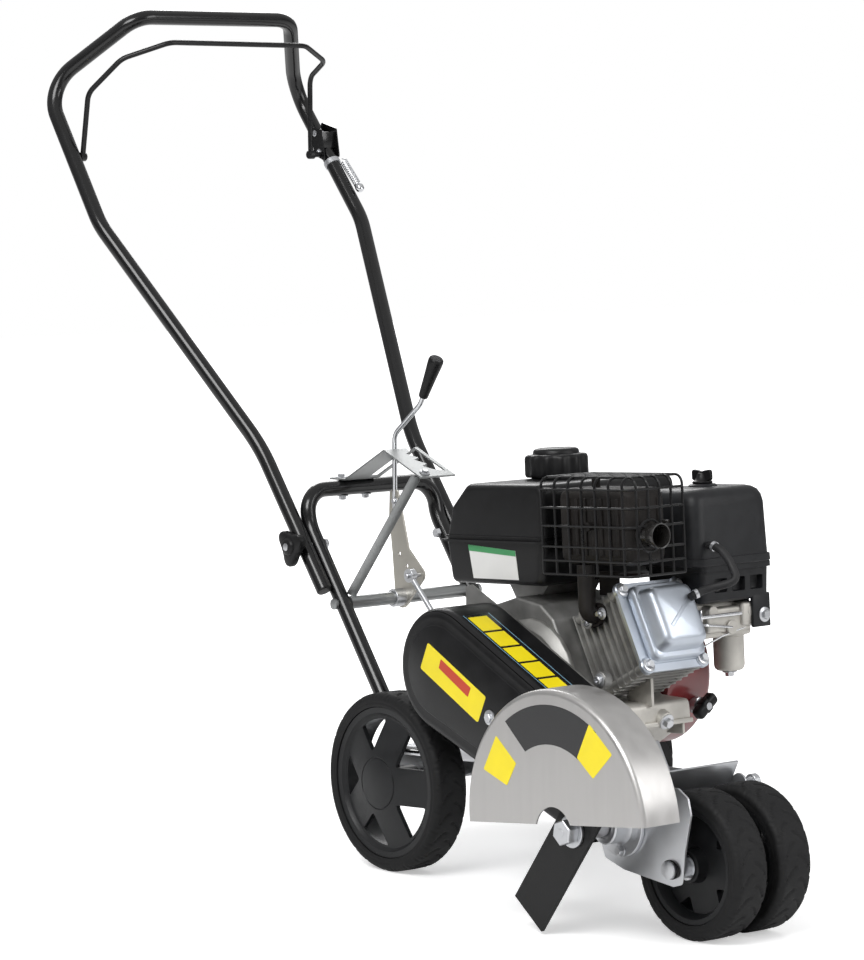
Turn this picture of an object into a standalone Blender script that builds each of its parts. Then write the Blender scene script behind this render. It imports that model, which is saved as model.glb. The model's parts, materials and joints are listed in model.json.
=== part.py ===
# Petrol lawn edger on four wheels: the engine drives a vertical blade at the front right by belt.
# Metres. X points forward, Y to the machine's left, Z up. Until the last step the rear axle stands
# over x = 0 and the ground is z = 0; then the whole machine moves so that the centre of its box
# stands on the origin.
import math

import bmesh
import bpy
from mathutils import Euler, Matrix, Vector

# Clearances
FIT = 0.0003
LOOSE = 0.0012

# Facets round a turned piece
REAR_FACETS = 30
FRONT_FACETS = 26
GUARD_FACETS = 48

# Tubes and sheet
TUBE_RADIUS = 0.0108
CROSS_TUBE_RADIUS = 0.009
SHEET = 0.003

# Rear wheels
REAR_RADIUS = 0.1175
REAR_INNER = 0.1546
REAR_WIDTH = 0.0518
REAR_RIM_RADIUS = 0.0990
REAR_AXLE_RADIUS = 0.008
REAR_CAP_HEIGHT = 0.0591
SPOKE_COUNT = 5
REAR_SPOKE_WIDTH = 0.049
FRONT_SPOKE_WIDTH = 0.047

# Front wheels, side by side under the front carriage
FRONT_RADIUS = 0.0895
CARRIAGE_REACH = 0.0835
FRONT_WIDTH = 0.0506
FRONT_NEAR_INNER = -0.1548
FRONT_FAR_INNER = -0.0838
FRONT_RIM_RADIUS = 0.0698
FRONT_AXLE_RADIUS = 0.006

# Chassis and engine stand nose up
PITCH = math.radians(2.8)
CRANK = Vector((0.208, 0.0, 0.262))
ENGINE_BASE = -0.106
DECK_REAR = -0.335
DECK_FRONT = 0.250
DECK_RIGHT = -0.140
DECK_LEFT = 0.125
DECK_NARROWS = -0.060
FLANGE_DEPTH = 0.040

# Spindle, blade and guard
SPINDLE = Vector((0.498, 0.0, 0.1343))
SPINDLE_RADIUS = 0.010
BLADE_LENGTH = 0.280
BLADE_WIDTH = 0.0604
BLADE_THICKNESS = 0.005
BLADE_INNER = -0.3040
BLADE_TILT = math.radians(37.0)
GUARD_CENTRE = Vector((0.498, 0.0, 0.1456))
GUARD_RADIUS = 0.1592
GUARD_FACE = -0.340
GUARD_BACK = -0.2837
GUARD_SHEET = 0.002
GUARD_TILT = math.radians(6.1)
GUARD_ROUNDING = 0.007
NOTCH_RADIUS = 0.033
NOTCH_DROP = 0.012

# Belt drive
PULLEY_CENTRE = -0.2150
PULLEY_WIDTH = 0.014
ENGINE_PULLEY_RADIUS = 0.032
BLADE_PULLEY_RADIUS = 0.034
GROOVE_DEPTH = 0.008
BELT_HEIGHT = 0.007
BELT_WIDTH = 0.0066
CRANKSHAFT_RADIUS = 0.011
COVER_REAR = Vector((0.155, 0.0, 0.283))
COVER_REAR_RADIUS = 0.079
COVER_FRONT = Vector((0.470, 0.0, 0.1516))
COVER_FRONT_RADIUS = 0.0629
COVER_END = 0.430
COVER_FACE = -0.235
COVER_BACK = -0.150
COVER_WALL = 0.0016
COVER_ROUNDING = 0.012

# Handle, hoop and depth lever
KNOB_AXIS = Vector((-0.2575, 0.0, 0.405))
HANDLE_LOW_HALF = 0.134
HANDLE_BEND = Vector((-0.355, 0.0, 0.535))
HANDLE_LOW_END = 0.072
HANDLE_WIDE = Vector((-0.5944, 0.233, 0.8432))
HANDLE_CORNER = Vector((-0.7429, 0.2225, 1.0398))
HANDLE_TOP = Vector((-0.6336, 0.136, 1.1382))
BAIL_PIVOT = Vector((-0.668, 0.0, 0.940))
BAIL_RADIUS = 0.0038
BAIL_EYE_LENGTH = 0.0052
HOOP_BAR = Vector((-0.2830, 0.0, 0.477))
BOLT_RADIUS = 0.004
LEVER_PIVOT = Vector((-0.202, 0.0, 0.328))
LEVER_Y = -0.008
CRANK_ARM = Vector((0.040, 0.0, 0.034))
SHANK_RADIUS = 0.0035
ROD_RADIUS = 0.004
ROD_REAR_Y = -0.025
ROD_FRONT_Y = -0.054
ROD_LOW = 0.100

HOOP_HALF = HANDLE_LOW_HALF - 2.0 * TUBE_RADIUS - FIT
DECK_TOP = ENGINE_BASE - FIT
FRONT_AXLE = Vector((SPINDLE.x + CARRIAGE_REACH, 0.0, FRONT_RADIUS))
REAR_AXLE = Vector((0.0, 0.0, REAR_RADIUS))

TURN_LEFT = (math.radians(-90.0), 0.0, 0.0)
TURN_RIGHT = (math.radians(90.0), 0.0, 0.0)
UPRIGHT = (0.0, 0.0, 0.0)
ACROSS = (math.radians(90.0), 0.0, math.radians(90.0))


def clear_scene():
    for thing in list(bpy.data.objects):
        bpy.data.objects.remove(thing, do_unlink=True)


def new_collection(name):
    group = bpy.data.collections.new(name)
    bpy.context.scene.collection.children.link(group)
    return group


def finish(name, colour, roughness, metallic=0.0):
    material = bpy.data.materials.new(name)
    material.use_nodes = True
    shader = material.node_tree.nodes["Principled BSDF"]
    shader.inputs["Base Color"].default_value = (*colour, 1.0)
    shader.inputs["Roughness"].default_value = roughness
    shader.inputs["Metallic"].default_value = metallic
    return material


clear_scene()
parts = new_collection("petrol_lawn_edger")
cutters = new_collection("cutters")

black_paint = finish("black_paint", (0.02, 0.019, 0.018), 0.35)
zinc = finish("zinc", (0.55, 0.56, 0.57), 0.32, 1.0)
steel = finish("steel", (0.45, 0.45, 0.46), 0.28, 1.0)
rubber = finish("rubber", (0.022, 0.022, 0.023), 0.8)
grey_plastic = finish("grey_plastic", (0.10, 0.10, 0.105), 0.5)
black_plastic = finish("black_plastic", (0.018, 0.018, 0.019), 0.4)
cast_alloy = finish("cast_alloy", (0.42, 0.42, 0.43), 0.45, 0.9)
red_paint = finish("red_paint", (0.16, 0.012, 0.014), 0.35)


def frame(name, location, rotation=UPRIGHT, parent=None):
    empty = bpy.data.objects.new(name, None)
    bpy.context.scene.collection.objects.link(empty)
    empty.location = location
    empty.rotation_euler = rotation
    empty.parent = parent
    return empty


machine = frame("machine", (0.0, 0.0, 0.0))
chassis = frame("chassis", CRANK, (0.0, -PITCH, 0.0), machine)
INCLINE = math.radians(25.0)
bore_line = frame("bore_line", (0.0, 0.0, 0.0), (0.0, -INCLINE, 0.0), chassis)


def place(name, mesh, parent, material, location=(0, 0, 0), rotation=UPRIGHT):
    piece = bpy.data.objects.new(name, mesh)
    parts.objects.link(piece)
    piece.parent = parent
    piece.location = location
    piece.rotation_euler = rotation
    if material:
        mesh.materials.append(material)
    return piece


def set_origin(piece, point):
    # Moves the origin of an untilted piece to a point in its parent's frame.
    shift = Vector(point) - piece.location
    turn = piece.rotation_euler.to_matrix().inverted()
    piece.data.transform(Matrix.Translation(-(turn @ shift)))
    piece.location = point
    return piece


def weld(mesh, distance=0.00001):
    work = bmesh.new()
    work.from_mesh(mesh)
    bmesh.ops.remove_doubles(work, verts=work.verts, dist=distance)
    work.to_mesh(mesh)
    work.free()


def bake(piece):
    bpy.context.view_layer.update()
    graph = bpy.context.evaluated_depsgraph_get()
    mesh = bpy.data.meshes.new_from_object(piece.evaluated_get(graph))
    weld(mesh)
    if piece.type == "MESH":
        piece.modifiers.clear()
        piece.data = mesh
        return piece
    solid = place(piece.name, mesh, piece.parent, None, piece.location, piece.rotation_euler)
    name = piece.name
    bpy.data.objects.remove(piece, do_unlink=True)
    solid.name = name
    return solid


def combine(body, tools, operation="DIFFERENCE"):
    for tool in tools:
        parts.objects.unlink(tool)
        cutters.objects.link(tool)
        tool.hide_render = True
        tool.display_type = "WIRE"
        step = body.modifiers.new("combine", "BOOLEAN")
        step.operation = operation
        step.solver = "EXACT"
        step.object = tool
    bake(body)
    for tool in tools:
        bpy.data.objects.remove(tool, do_unlink=True)
    return body


def join(body, tools):
    return combine(body, tools, "UNION")


def smooth(piece, angle=35.0):
    piece.data.shade_smooth()
    piece.data.set_sharp_from_angle(angle=math.radians(angle))
    return piece


def box(name, low, high, parent, material=None, bevel=0.0, segments=2):
    low = Vector(low)
    high = Vector(high)
    mesh = bpy.data.meshes.new(name)
    work = bmesh.new()
    bmesh.ops.create_cube(work, size=1.0)
    bmesh.ops.scale(work, vec=high - low, verts=work.verts)
    bmesh.ops.translate(work, vec=(high + low) / 2.0, verts=work.verts)
    if bevel:
        bmesh.ops.bevel(work, geom=work.edges[:], offset=bevel, segments=segments,
                        affect="EDGES", profile=0.5)
    work.to_mesh(mesh)
    work.free()
    return place(name, mesh, parent, material)


def rod(name, start, end, radius, parent, material=None, sides=16, end_radius=None):
    start = Vector(start)
    end = Vector(end)
    along = end - start
    mesh = bpy.data.meshes.new(name)
    work = bmesh.new()
    bmesh.ops.create_cone(work, cap_ends=True, segments=sides, radius1=radius,
                          radius2=end_radius or radius, depth=along.length)
    turn = along.to_track_quat("Z", "Y").to_matrix().to_4x4()
    bmesh.ops.transform(work, matrix=Matrix.Translation((start + end) / 2.0) @ turn, verts=work.verts)
    work.to_mesh(mesh)
    work.free()
    return place(name, mesh, parent, material)


def turned(name, profile, parent, material, location, rotation, steps=32, ring=False):
    mesh = bpy.data.meshes.new(name)
    work = bmesh.new()
    points = [work.verts.new((radius, 0.0, height)) for radius, height in profile]
    for first, second in zip(points, points[1:]):
        work.edges.new((first, second))
    if ring:
        work.edges.new((points[-1], points[0]))
    work.to_mesh(mesh)
    work.free()
    piece = place(name, mesh, parent, material, location, rotation)
    screw = piece.modifiers.new("turn", "SCREW")
    screw.steps = steps
    screw.render_steps = steps
    screw.use_merge_vertices = True
    screw.merge_threshold = 0.00005
    return smooth(bake(piece))


def plate(name, loops, thickness, parent, material, location, rotation):
    curve = bpy.data.curves.new(name, "CURVE")
    curve.dimensions = "2D"
    curve.fill_mode = "BOTH"
    curve.extrude = thickness / 2.0
    for loop in loops:
        spline = curve.splines.new("POLY")
        spline.points.add(len(loop) - 1)
        for point, (across, up) in zip(spline.points, loop):
            point.co = (across, up, 0.0, 1.0)
        spline.use_cyclic_u = True
    piece = place(name, curve, parent, None, location, rotation)
    solid = bake(piece)
    solid.data.materials.clear()
    if material:
        solid.data.materials.append(material)
    return solid


def side_plate(name, loops, low, high, parent, material=None):
    # A sheet in the XZ plane between two Y values.
    return plate(name, loops, high - low, parent, material, (0.0, (low + high) / 2.0, 0.0), TURN_RIGHT)


def cross_plate(name, loops, low, high, parent, material=None):
    # A sheet in the YZ plane between two X values.
    return plate(name, loops, high - low, parent, material, ((low + high) / 2.0, 0.0, 0.0), ACROSS)


def flat_plate(name, loops, low, high, parent, material=None):
    # A sheet in the XY plane between two Z values.
    return plate(name, loops, high - low, parent, material, (0.0, 0.0, (low + high) / 2.0), UPRIGHT)


def arc(centre, radius, start, end, steps):
    points = []
    for step in range(steps + 1):
        angle = start + (end - start) * step / steps
        points.append((centre[0] + radius * math.cos(angle), centre[1] + radius * math.sin(angle)))
    return points


def circle(centre, radius, steps=24):
    return arc(centre, radius, 0.0, math.tau * (steps - 1) / steps, steps - 1)


def belt_line(first, first_radius, second, second_radius, steps=16):
    # The taut loop round two circles; the second circle lies ahead of the first.
    across = Vector((second[0] - first[0], second[1] - first[1]))
    heading = math.atan2(across.y, across.x)
    lean = math.acos((first_radius - second_radius) / across.length)
    rear = arc(first, first_radius, heading + lean, heading + math.tau - lean, steps)
    front = arc(second, second_radius, heading - lean, heading + lean, steps)
    return rear + front


def rounded(points, radii, steps=6):
    # A route through the points, its corners rounded to the radii.
    points = [Vector(point) for point in points]
    route = [points[0]]
    for before, corner, after, radius in zip(points, points[1:], points[2:], radii):
        back = (before - corner).normalized()
        ahead = (after - corner).normalized()
        half = back.angle(ahead) / 2.0
        tangent = radius / math.tan(half)
        centre = corner + (back + ahead).normalized() * (radius / math.sin(half))
        start = corner + back * tangent - centre
        end = corner + ahead * tangent - centre
        for step in range(steps + 1):
            share = step / steps
            sweep = start.angle(end)
            blend = start * math.sin((1.0 - share) * sweep) + end * math.sin(share * sweep)
            route.append(centre + blend / math.sin(sweep))
    route.append(points[-1])
    return route


def flowing(points, steps=3):
    # A smooth route through the points.
    points = [Vector(point) for point in points]
    ends = [2.0 * points[0] - points[1]] + points + [2.0 * points[-1] - points[-2]]
    route = []
    for before, start, end, after in zip(ends, ends[1:], ends[2:], ends[3:]):
        for step in range(steps):
            share = step / steps
            route.append(0.5 * (2.0 * start + (end - before) * share
                                + (2.0 * before - 5.0 * start + 4.0 * end - after) * share ** 2
                                + (3.0 * start - before - 3.0 * end + after) * share ** 3))
    route.append(points[-1])
    return route


def tube(name, route, radius, parent, material=None, detail=2):
    curve = bpy.data.curves.new(name, "CURVE")
    curve.dimensions = "3D"
    curve.bevel_depth = radius
    curve.bevel_resolution = detail
    curve.use_fill_caps = True
    spline = curve.splines.new("POLY")
    spline.points.add(len(route) - 1)
    for point, spot in zip(spline.points, route):
        point.co = (*spot, 1.0)
    solid = bake(place(name, curve, parent, None))
    solid.data.materials.clear()
    if material:
        solid.data.materials.append(material)
    return smooth(solid, 50.0)


def bar(name, start, end, width, thickness, side, parent, material=None):
    # A flat strip between two points, its width lying along the side direction.
    start = Vector(start)
    end = Vector(end)
    along = (end - start).normalized()
    flat = Vector(side)
    flat = (flat - along * flat.dot(along)).normalized()
    strip = box(name, (0.0, -width / 2.0, -thickness / 2.0),
                ((end - start).length, width / 2.0, thickness / 2.0), parent, material)
    turn = Matrix((along, flat, along.cross(flat))).transposed().to_4x4()
    strip.data.transform(Matrix.Translation(start) @ turn)
    return strip


def mirrored(points):
    return [Vector((point[0], -point[1], point[2])) for point in points]


def in_chassis(point):
    # A point of the machine's frame in the tilted chassis frame.
    offset = Vector(point) - CRANK
    return Euler((0.0, PITCH, 0.0)).to_matrix() @ offset


def in_machine(point):
    return Euler((0.0, -PITCH, 0.0)).to_matrix() @ Vector(point) + CRANK


# Wheels

def tyre_profile(inner, outer, width, shoulder):
    return [(inner, width), (outer - shoulder, width),
            (outer - 0.3 * shoulder, width - 0.3 * shoulder), (outer, width - shoulder),
            (outer, shoulder), (outer - 0.3 * shoulder, 0.3 * shoulder),
            (outer - shoulder, 0.0), (inner, 0.0)]


def spoke_window(turn, outer, width):
    # The gap between two straight-sided spokes, which meet at its inner point.
    half = math.pi / SPOKE_COUNT
    wide = half - math.asin(width / 2.0 / outer)
    apex = width / 2.0 / math.sin(half)
    return (arc((0.0, 0.0), outer, turn - wide, turn + wide, 4)
            + [(apex * math.cos(turn), apex * math.sin(turn))])


def cut_windows(hub, outer, width, low, high, centre, turn):
    windows = []
    for number in range(SPOKE_COUNT):
        angle = math.tau * (number + 0.5) / SPOKE_COUNT
        window = plate("window", [spoke_window(angle, outer, width)], high - low, machine, None, centre, turn)
        window.data.transform(Matrix.Translation((0.0, 0.0, (low + high) / 2.0)))
        windows.append(window)
    smooth(combine(hub, windows))


def make_rear_wheel(side, turn, centre_y):
    # The spokes slope back from a flat cap to the rim; a groove parts the cap from them.
    cap = REAR_CAP_HEIGHT
    cap_radius = 0.033
    groove = 0.0012
    web = 0.006
    rim_inside = 0.0905
    spoke_end = rim_inside - 0.004
    spoke_low = 0.043
    lip = REAR_WIDTH - 0.004
    tube_radius = 0.018
    bore = REAR_AXLE_RADIUS + 2.0 * FIT
    profile = [(0.0, cap), (cap_radius, cap), (cap_radius, cap - groove), (cap_radius + groove, cap - groove),
               (cap_radius + groove, cap - 0.0005), (spoke_end, spoke_low), (rim_inside, lip),
               (REAR_RIM_RADIUS, lip), (REAR_RIM_RADIUS, 0.004), (rim_inside, 0.004),
               (spoke_end, spoke_low - web), (cap_radius, cap - 0.0005 - web),
               (tube_radius, cap - 0.0005 - web), (tube_radius, 0.0), (bore, 0.0), (bore, cap - 0.005),
               (0.0, cap - 0.005)]
    centre = Vector((REAR_AXLE.x, centre_y, REAR_AXLE.z))
    hub = turned("rear_hub_" + side, profile, machine, grey_plastic, centre, turn, REAR_FACETS)
    cut_windows(hub, rim_inside - 0.007, REAR_SPOKE_WIDTH, spoke_low - 3.0 * web, cap + web, centre, turn)
    tyre = tyre_profile(REAR_RIM_RADIUS + FIT, REAR_RADIUS, REAR_WIDTH, 0.010)
    turned("rear_tyre_" + side, tyre, machine, rubber, centre, turn, REAR_FACETS, ring=True)


def make_front_wheel(side, inner):
    web_low = 0.020
    web_high = 0.034
    boss = 0.020
    rim_inside = FRONT_RIM_RADIUS - 0.007
    bore = FRONT_AXLE_RADIUS + 2.0 * FIT
    profile = [(boss, FRONT_WIDTH), (boss, web_high), (rim_inside - 0.004, web_high),
               (rim_inside, FRONT_WIDTH - 0.004), (FRONT_RIM_RADIUS, FRONT_WIDTH - 0.004),
               (FRONT_RIM_RADIUS, 0.004), (rim_inside, 0.004), (rim_inside - 0.004, web_low),
               (boss, web_low), (boss, 0.0), (bore, 0.0), (bore, FRONT_WIDTH)]
    # Heights run towards the machine's right, the side that shows.
    centre = Vector((FRONT_AXLE.x, inner, FRONT_AXLE.z))
    hub = turned("front_hub_" + side, profile, machine, grey_plastic, centre, TURN_RIGHT, FRONT_FACETS,
                 ring=True)
    cut_windows(hub, rim_inside - 0.0055, FRONT_SPOKE_WIDTH, web_low - 0.003, web_high + 0.003, centre,
                TURN_RIGHT)
    tyre = tyre_profile(FRONT_RIM_RADIUS + FIT, FRONT_RADIUS, FRONT_WIDTH, 0.009)
    turned("front_tyre_" + side, tyre, machine, rubber, centre, TURN_RIGHT, FRONT_FACETS, ring=True)


def make_wheels():
    make_rear_wheel("right", TURN_RIGHT, -REAR_INNER)
    make_rear_wheel("left", TURN_LEFT, REAR_INNER)
    make_front_wheel("right", FRONT_NEAR_INNER)
    make_front_wheel("left", FRONT_FAR_INNER)


def make_rear_axle():
    end = REAR_INNER + 0.050
    collar = REAR_INNER - FIT
    profile = [(0.0, end), (REAR_AXLE_RADIUS, end), (REAR_AXLE_RADIUS, collar), (0.012, collar),
               (0.012, DECK_LEFT + FIT), (REAR_AXLE_RADIUS, DECK_LEFT + FIT),
               (REAR_AXLE_RADIUS, DECK_RIGHT - FIT), (0.012, DECK_RIGHT - FIT), (0.012, -collar),
               (REAR_AXLE_RADIUS, -collar), (REAR_AXLE_RADIUS, -end), (0.0, -end)]
    turned("rear_axle", profile, machine, steel, REAR_AXLE, TURN_LEFT, 12)


# Carriage that carries the front wheels and swings about the spindle line

CARRIAGE_RIGHT = -0.2308
CARRIAGE_LEFT = -0.0780
HOUSING_STEP = 0.027


def make_front_carriage():
    spindle = (SPINDLE.x, SPINDLE.z)
    axle = (FRONT_AXLE.x, FRONT_AXLE.z)
    middle = (spindle[0] + axle[0]) / 2.0
    right = [(spindle[0] - 0.040, 0.108), (spindle[0] - 0.032, 0.088), (spindle[0] + 0.002, 0.078),
             (axle[0] + 0.0025, 0.069), (axle[0] + 0.0185, 0.074), (axle[0] + 0.0245, 0.110),
             (axle[0] + 0.0355, 0.158), (axle[0] + 0.0305, 0.178), (axle[0] + 0.0135, 0.188),
             (middle, 0.182), (spindle[0], 0.176), (spindle[0] - 0.028, 0.165), (spindle[0] - 0.042, 0.138)]
    side_plate("carriage_right_plate",
               [right, circle(spindle, HOUSING_STEP + 0.0005), circle(axle, FRONT_AXLE_RADIUS + FIT, 16)],
               CARRIAGE_RIGHT, CARRIAGE_RIGHT + SHEET, machine, zinc)
    horn = (SPINDLE.x + CRANK_ARM.x, SPINDLE.z + CRANK_ARM.z)
    left = [(spindle[0] - 0.014, 0.118), (spindle[0] + 0.002, 0.112), (axle[0] - 0.0095, 0.070),
            (axle[0] + 0.0105, 0.070), (axle[0] + 0.0185, 0.092), (axle[0] + 0.0035, 0.112),
            (horn[0] + 0.018, 0.150)]
    left += arc(horn, 0.013, math.radians(-20.0), math.radians(130.0), 6)
    left += [(spindle[0] + 0.010, 0.158), (spindle[0] - 0.008, 0.152), (spindle[0] - 0.018, 0.136)]
    plate_left = side_plate("carriage_left_plate",
                            [left, circle(spindle, 0.0083, 20), circle(axle, FRONT_AXLE_RADIUS + FIT, 16)],
                            CARRIAGE_LEFT, CARRIAGE_LEFT + SHEET, machine, zinc)
    rib_end = -0.203
    rib_middle = (CARRIAGE_LEFT + rib_end) / 2.0
    rib = bar("rib", (axle[0] - 0.0695, rib_middle, 0.150), (axle[0] - 0.0455, rib_middle, 0.196),
              CARRIAGE_LEFT - rib_end + 0.002, SHEET, (0.0, 1.0, 0.0), machine)
    pin = rod("pin", (horn[0], CARRIAGE_LEFT + 0.001, horn[1]),
              (horn[0], ROD_FRONT_Y + 0.0065, horn[1]), BOLT_RADIUS, machine)
    join(plate_left, [rib, pin])


def make_front_axle():
    right_end = CARRIAGE_RIGHT - FIT
    left_end = CARRIAGE_LEFT + SHEET + FIT
    shank = FRONT_AXLE_RADIUS
    spacer = 0.011
    near_outer = FRONT_NEAR_INNER - FRONT_WIDTH
    far_outer = FRONT_FAR_INNER - FRONT_WIDTH
    profile = [(0.0, left_end + 0.005), (spacer, left_end + 0.005), (spacer, left_end), (shank, left_end),
               (shank, CARRIAGE_LEFT - FIT), (spacer, CARRIAGE_LEFT - FIT), (spacer, FRONT_FAR_INNER + FIT),
               (shank, FRONT_FAR_INNER + FIT), (shank, far_outer - FIT), (spacer, far_outer - FIT),
               (spacer, FRONT_NEAR_INNER + FIT), (shank, FRONT_NEAR_INNER + FIT), (shank, near_outer - FIT),
               (spacer, near_outer - FIT), (spacer, CARRIAGE_RIGHT + SHEET + FIT),
               (shank, CARRIAGE_RIGHT + SHEET + FIT), (shank, right_end), (spacer, right_end),
               (spacer, right_end - 0.005), (0.0, right_end - 0.005)]
    turned("front_axle", profile, machine, zinc, FRONT_AXLE, TURN_LEFT, 12)


# Deck and hoop

FRAME_PLATE = -0.2270
FRAME_BRACKET = -0.0735


def make_deck_frame():
    spindle = in_chassis(SPINDLE)
    axle = in_chassis(REAR_AXLE)
    rod_slot = in_chassis((0.052, 0.0, 0.145)).x
    slot = [(rod_slot - 0.026, ROD_REAR_Y - 0.009), (rod_slot + 0.020, ROD_REAR_Y - 0.009),
            (rod_slot + 0.020, ROD_REAR_Y + 0.009), (rod_slot - 0.026, ROD_REAR_Y + 0.009)]
    # The sheet narrows forward of the wheels, down to the bracket that holds the spindle.
    inner_side = FRAME_BRACKET + SHEET
    top = [(DECK_REAR, DECK_RIGHT), (DECK_FRONT, DECK_RIGHT), (DECK_FRONT, -0.092), (0.210, inner_side),
           (0.150, inner_side), (DECK_NARROWS, DECK_LEFT), (DECK_REAR, DECK_LEFT)]
    deck = flat_plate("deck_frame", [top, slot], DECK_TOP - SHEET, DECK_TOP, chassis, zinc)
    low = DECK_TOP - FLANGE_DEPTH
    edge = DECK_TOP - 0.016
    skirt = [(DECK_REAR, DECK_TOP), (DECK_REAR, DECK_TOP - 0.014), (axle.x - 0.035, low),
             (axle.x + 0.035, low), (axle.x + 0.100, edge)]
    hole = circle((axle.x, axle.z), REAR_AXLE_RADIUS + FIT, 20)
    right = side_plate("skirt_right", [skirt + [(DECK_FRONT, edge), (DECK_FRONT, DECK_TOP)], hole],
                       DECK_RIGHT, DECK_RIGHT + SHEET, chassis)
    left = side_plate("skirt_left", [skirt + [(DECK_NARROWS - 0.010, edge), (DECK_NARROWS, DECK_TOP)], hole],
                      DECK_LEFT - SHEET, DECK_LEFT, chassis)
    # The front wall bridges the belt between the deck and the guard's bracket.
    wall = cross_plate("wall", [[(GUARD_BACK - 0.002, -0.072), (GUARD_BACK - 0.002, -0.056), (-0.135, -0.056),
                                 (-0.118, -0.096), (-0.105, -0.098), (inner_side, -0.117),
                                 (inner_side, -0.128), (-0.137, -0.128), (-0.137, -0.100),
                                 (-0.160, -0.074)]],
                       DECK_FRONT - 0.005, DECK_FRONT - 0.002, chassis)
    outer = [(0.243, -0.050), (0.300, -0.062), (0.316, -0.095), (0.316, -0.160), (0.302, -0.178),
             (0.266, -0.178), (0.246, -0.160), (0.243, -0.100)]
    arm = side_plate("arm", [outer, circle((spindle.x, spindle.z), 0.019)],
                     FRAME_PLATE, FRAME_PLATE + SHEET, chassis)
    inner = [(0.150, -0.120), (0.150, -0.0985), (0.217, -0.0995), (0.257, -0.1205), (0.300, -0.131),
             (0.306, -0.142), (0.300, -0.158), (0.284, -0.166), (0.266, -0.158), (0.250, -0.140),
             (0.200, -0.120)]
    bracket = side_plate("bracket", [inner, circle((spindle.x, spindle.z), 0.0083, 20)],
                         FRAME_BRACKET, FRAME_BRACKET + SHEET, chassis)
    join(deck, [right, left, wall, arm, bracket])


def make_pivot_bolt():
    # Holds the carriage's left plate to the deck's bracket on the spindle line.
    head = FRAME_BRACKET + SHEET + FIT
    clip = CARRIAGE_LEFT - FIT
    profile = [(0.0, head + 0.006), (0.0125, head + 0.006), (0.0125, head), (0.008, head), (0.008, clip),
               (0.012, clip), (0.012, clip - 0.003), (0.0, clip - 0.003)]
    turned("pivot_bolt", profile, machine, zinc, SPINDLE, TURN_LEFT, 16)


def make_hoop():
    foot_z = DECK_TOP + FIT
    leg_foot = Vector((-0.0560, HOOP_HALF, 0.1270))
    shoulder = Vector((-0.2735, HOOP_HALF, 0.4290))
    corner = Vector((HOOP_BAR.x, HOOP_HALF, HOOP_BAR.z))
    left = [leg_foot, shoulder, corner]
    right = mirrored(left)
    route = rounded(left + right[::-1], (0.060, 0.034, 0.034, 0.060), 4)
    hoop = tube("hoop_frame", route, TUBE_RADIUS, machine, black_paint, 2)
    feet = []
    for side in (-1.0, 1.0):
        foot = in_chassis(leg_foot)
        feet.append(box("foot", (foot.x - 0.040, side * HOOP_HALF - 0.0125, foot_z),
                        (foot.x + 0.030, side * HOOP_HALF + 0.0125, foot_z + SHEET), chassis))
    join(hoop, feet)
    below = box("below", (-0.4, -0.2, -0.3), (0.0, 0.2, foot_z), chassis)
    drills = [below]
    for spot in (KNOB_AXIS, LEVER_PIVOT):
        drills.append(rod("drill", (spot.x, -0.2, spot.z), (spot.x, 0.2, spot.z), BOLT_RADIUS + FIT,
                          machine, None, 12))
    smooth(combine(hoop, drills), 50.0)


def make_cross_tube():
    inner = HOOP_HALF - TUBE_RADIUS - FIT
    outer = HOOP_HALF + TUBE_RADIUS + FIT
    profile = [(0.0, outer + 0.005), (0.0075, outer + 0.005), (0.0075, outer), (BOLT_RADIUS, outer),
               (BOLT_RADIUS, inner), (CROSS_TUBE_RADIUS, inner)]
    profile += [(radius, -height) for radius, height in reversed(profile)]
    turned("cross_tube", profile, machine, zinc, LEVER_PIVOT, TURN_LEFT, 16)


GATE_NEAR = -0.055
GATE_FAR = 0.005
GATE_APEX = Vector((-0.180, 0.0, 0.533))
GATE_FRONT = Vector((-0.099, 0.0, 0.500))
GATE_SHEET = 0.0025


def make_gate():
    seat = HOOP_BAR.z + TUBE_RADIUS + FIT
    line = [(-0.302, seat), (-0.268, seat), (GATE_APEX.x, GATE_APEX.z), (GATE_FRONT.x, GATE_FRONT.z)]
    upper = [(across, up + GATE_SHEET) for across, up in line]
    gate = side_plate("gate_plate", [line + upper[::-1]], GATE_NEAR, GATE_FAR, machine, zinc)
    slot = [(-0.262, -0.016), (-0.262, GATE_FAR - 0.007), (-0.112, GATE_FAR - 0.007), (-0.118, -0.018)]
    for tooth in range(3):
        edge = -0.128 - 0.018 * tooth
        slot += [(edge, -0.028), (edge - 0.006, -0.016)]
    slot += [(-0.190, -0.016)]
    opening = flat_plate("opening", [slot], 0.47, 0.56, machine)
    combine(gate, [opening])


def make_gate_brace():
    # A flat strip from the cross tube's right end up to the front of the gate.
    low = (-0.2035, -0.0965, 0.3280)
    high = (-0.1180, -0.0460, 0.5040)
    brace = bar("gate_brace", low, high, 0.0135, 0.003, (0.55, -0.75, 0.0), machine, zinc)
    slope = (GATE_APEX.z - GATE_FRONT.z) / (GATE_FRONT.x - GATE_APEX.x)
    underside = [(across, GATE_APEX.z - (across - GATE_APEX.x) * slope - FIT) for across in (-0.20, -0.05)]
    above = side_plate("above", [underside + [(-0.05, 0.60), (-0.20, 0.60)]], -0.12, 0.05, machine)
    seat = rod("seat", LEVER_PIVOT - Vector((0, 0.15, 0)), LEVER_PIVOT + Vector((0, 0.15, 0)),
               CROSS_TUBE_RADIUS + FIT, machine, None, 16)
    below = box("below", (-0.3, -0.12, 0.28), (-0.1, -0.05, LEVER_PIVOT.z), machine)
    combine(brace, [above, seat, below])


# Depth lever and its rod

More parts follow.
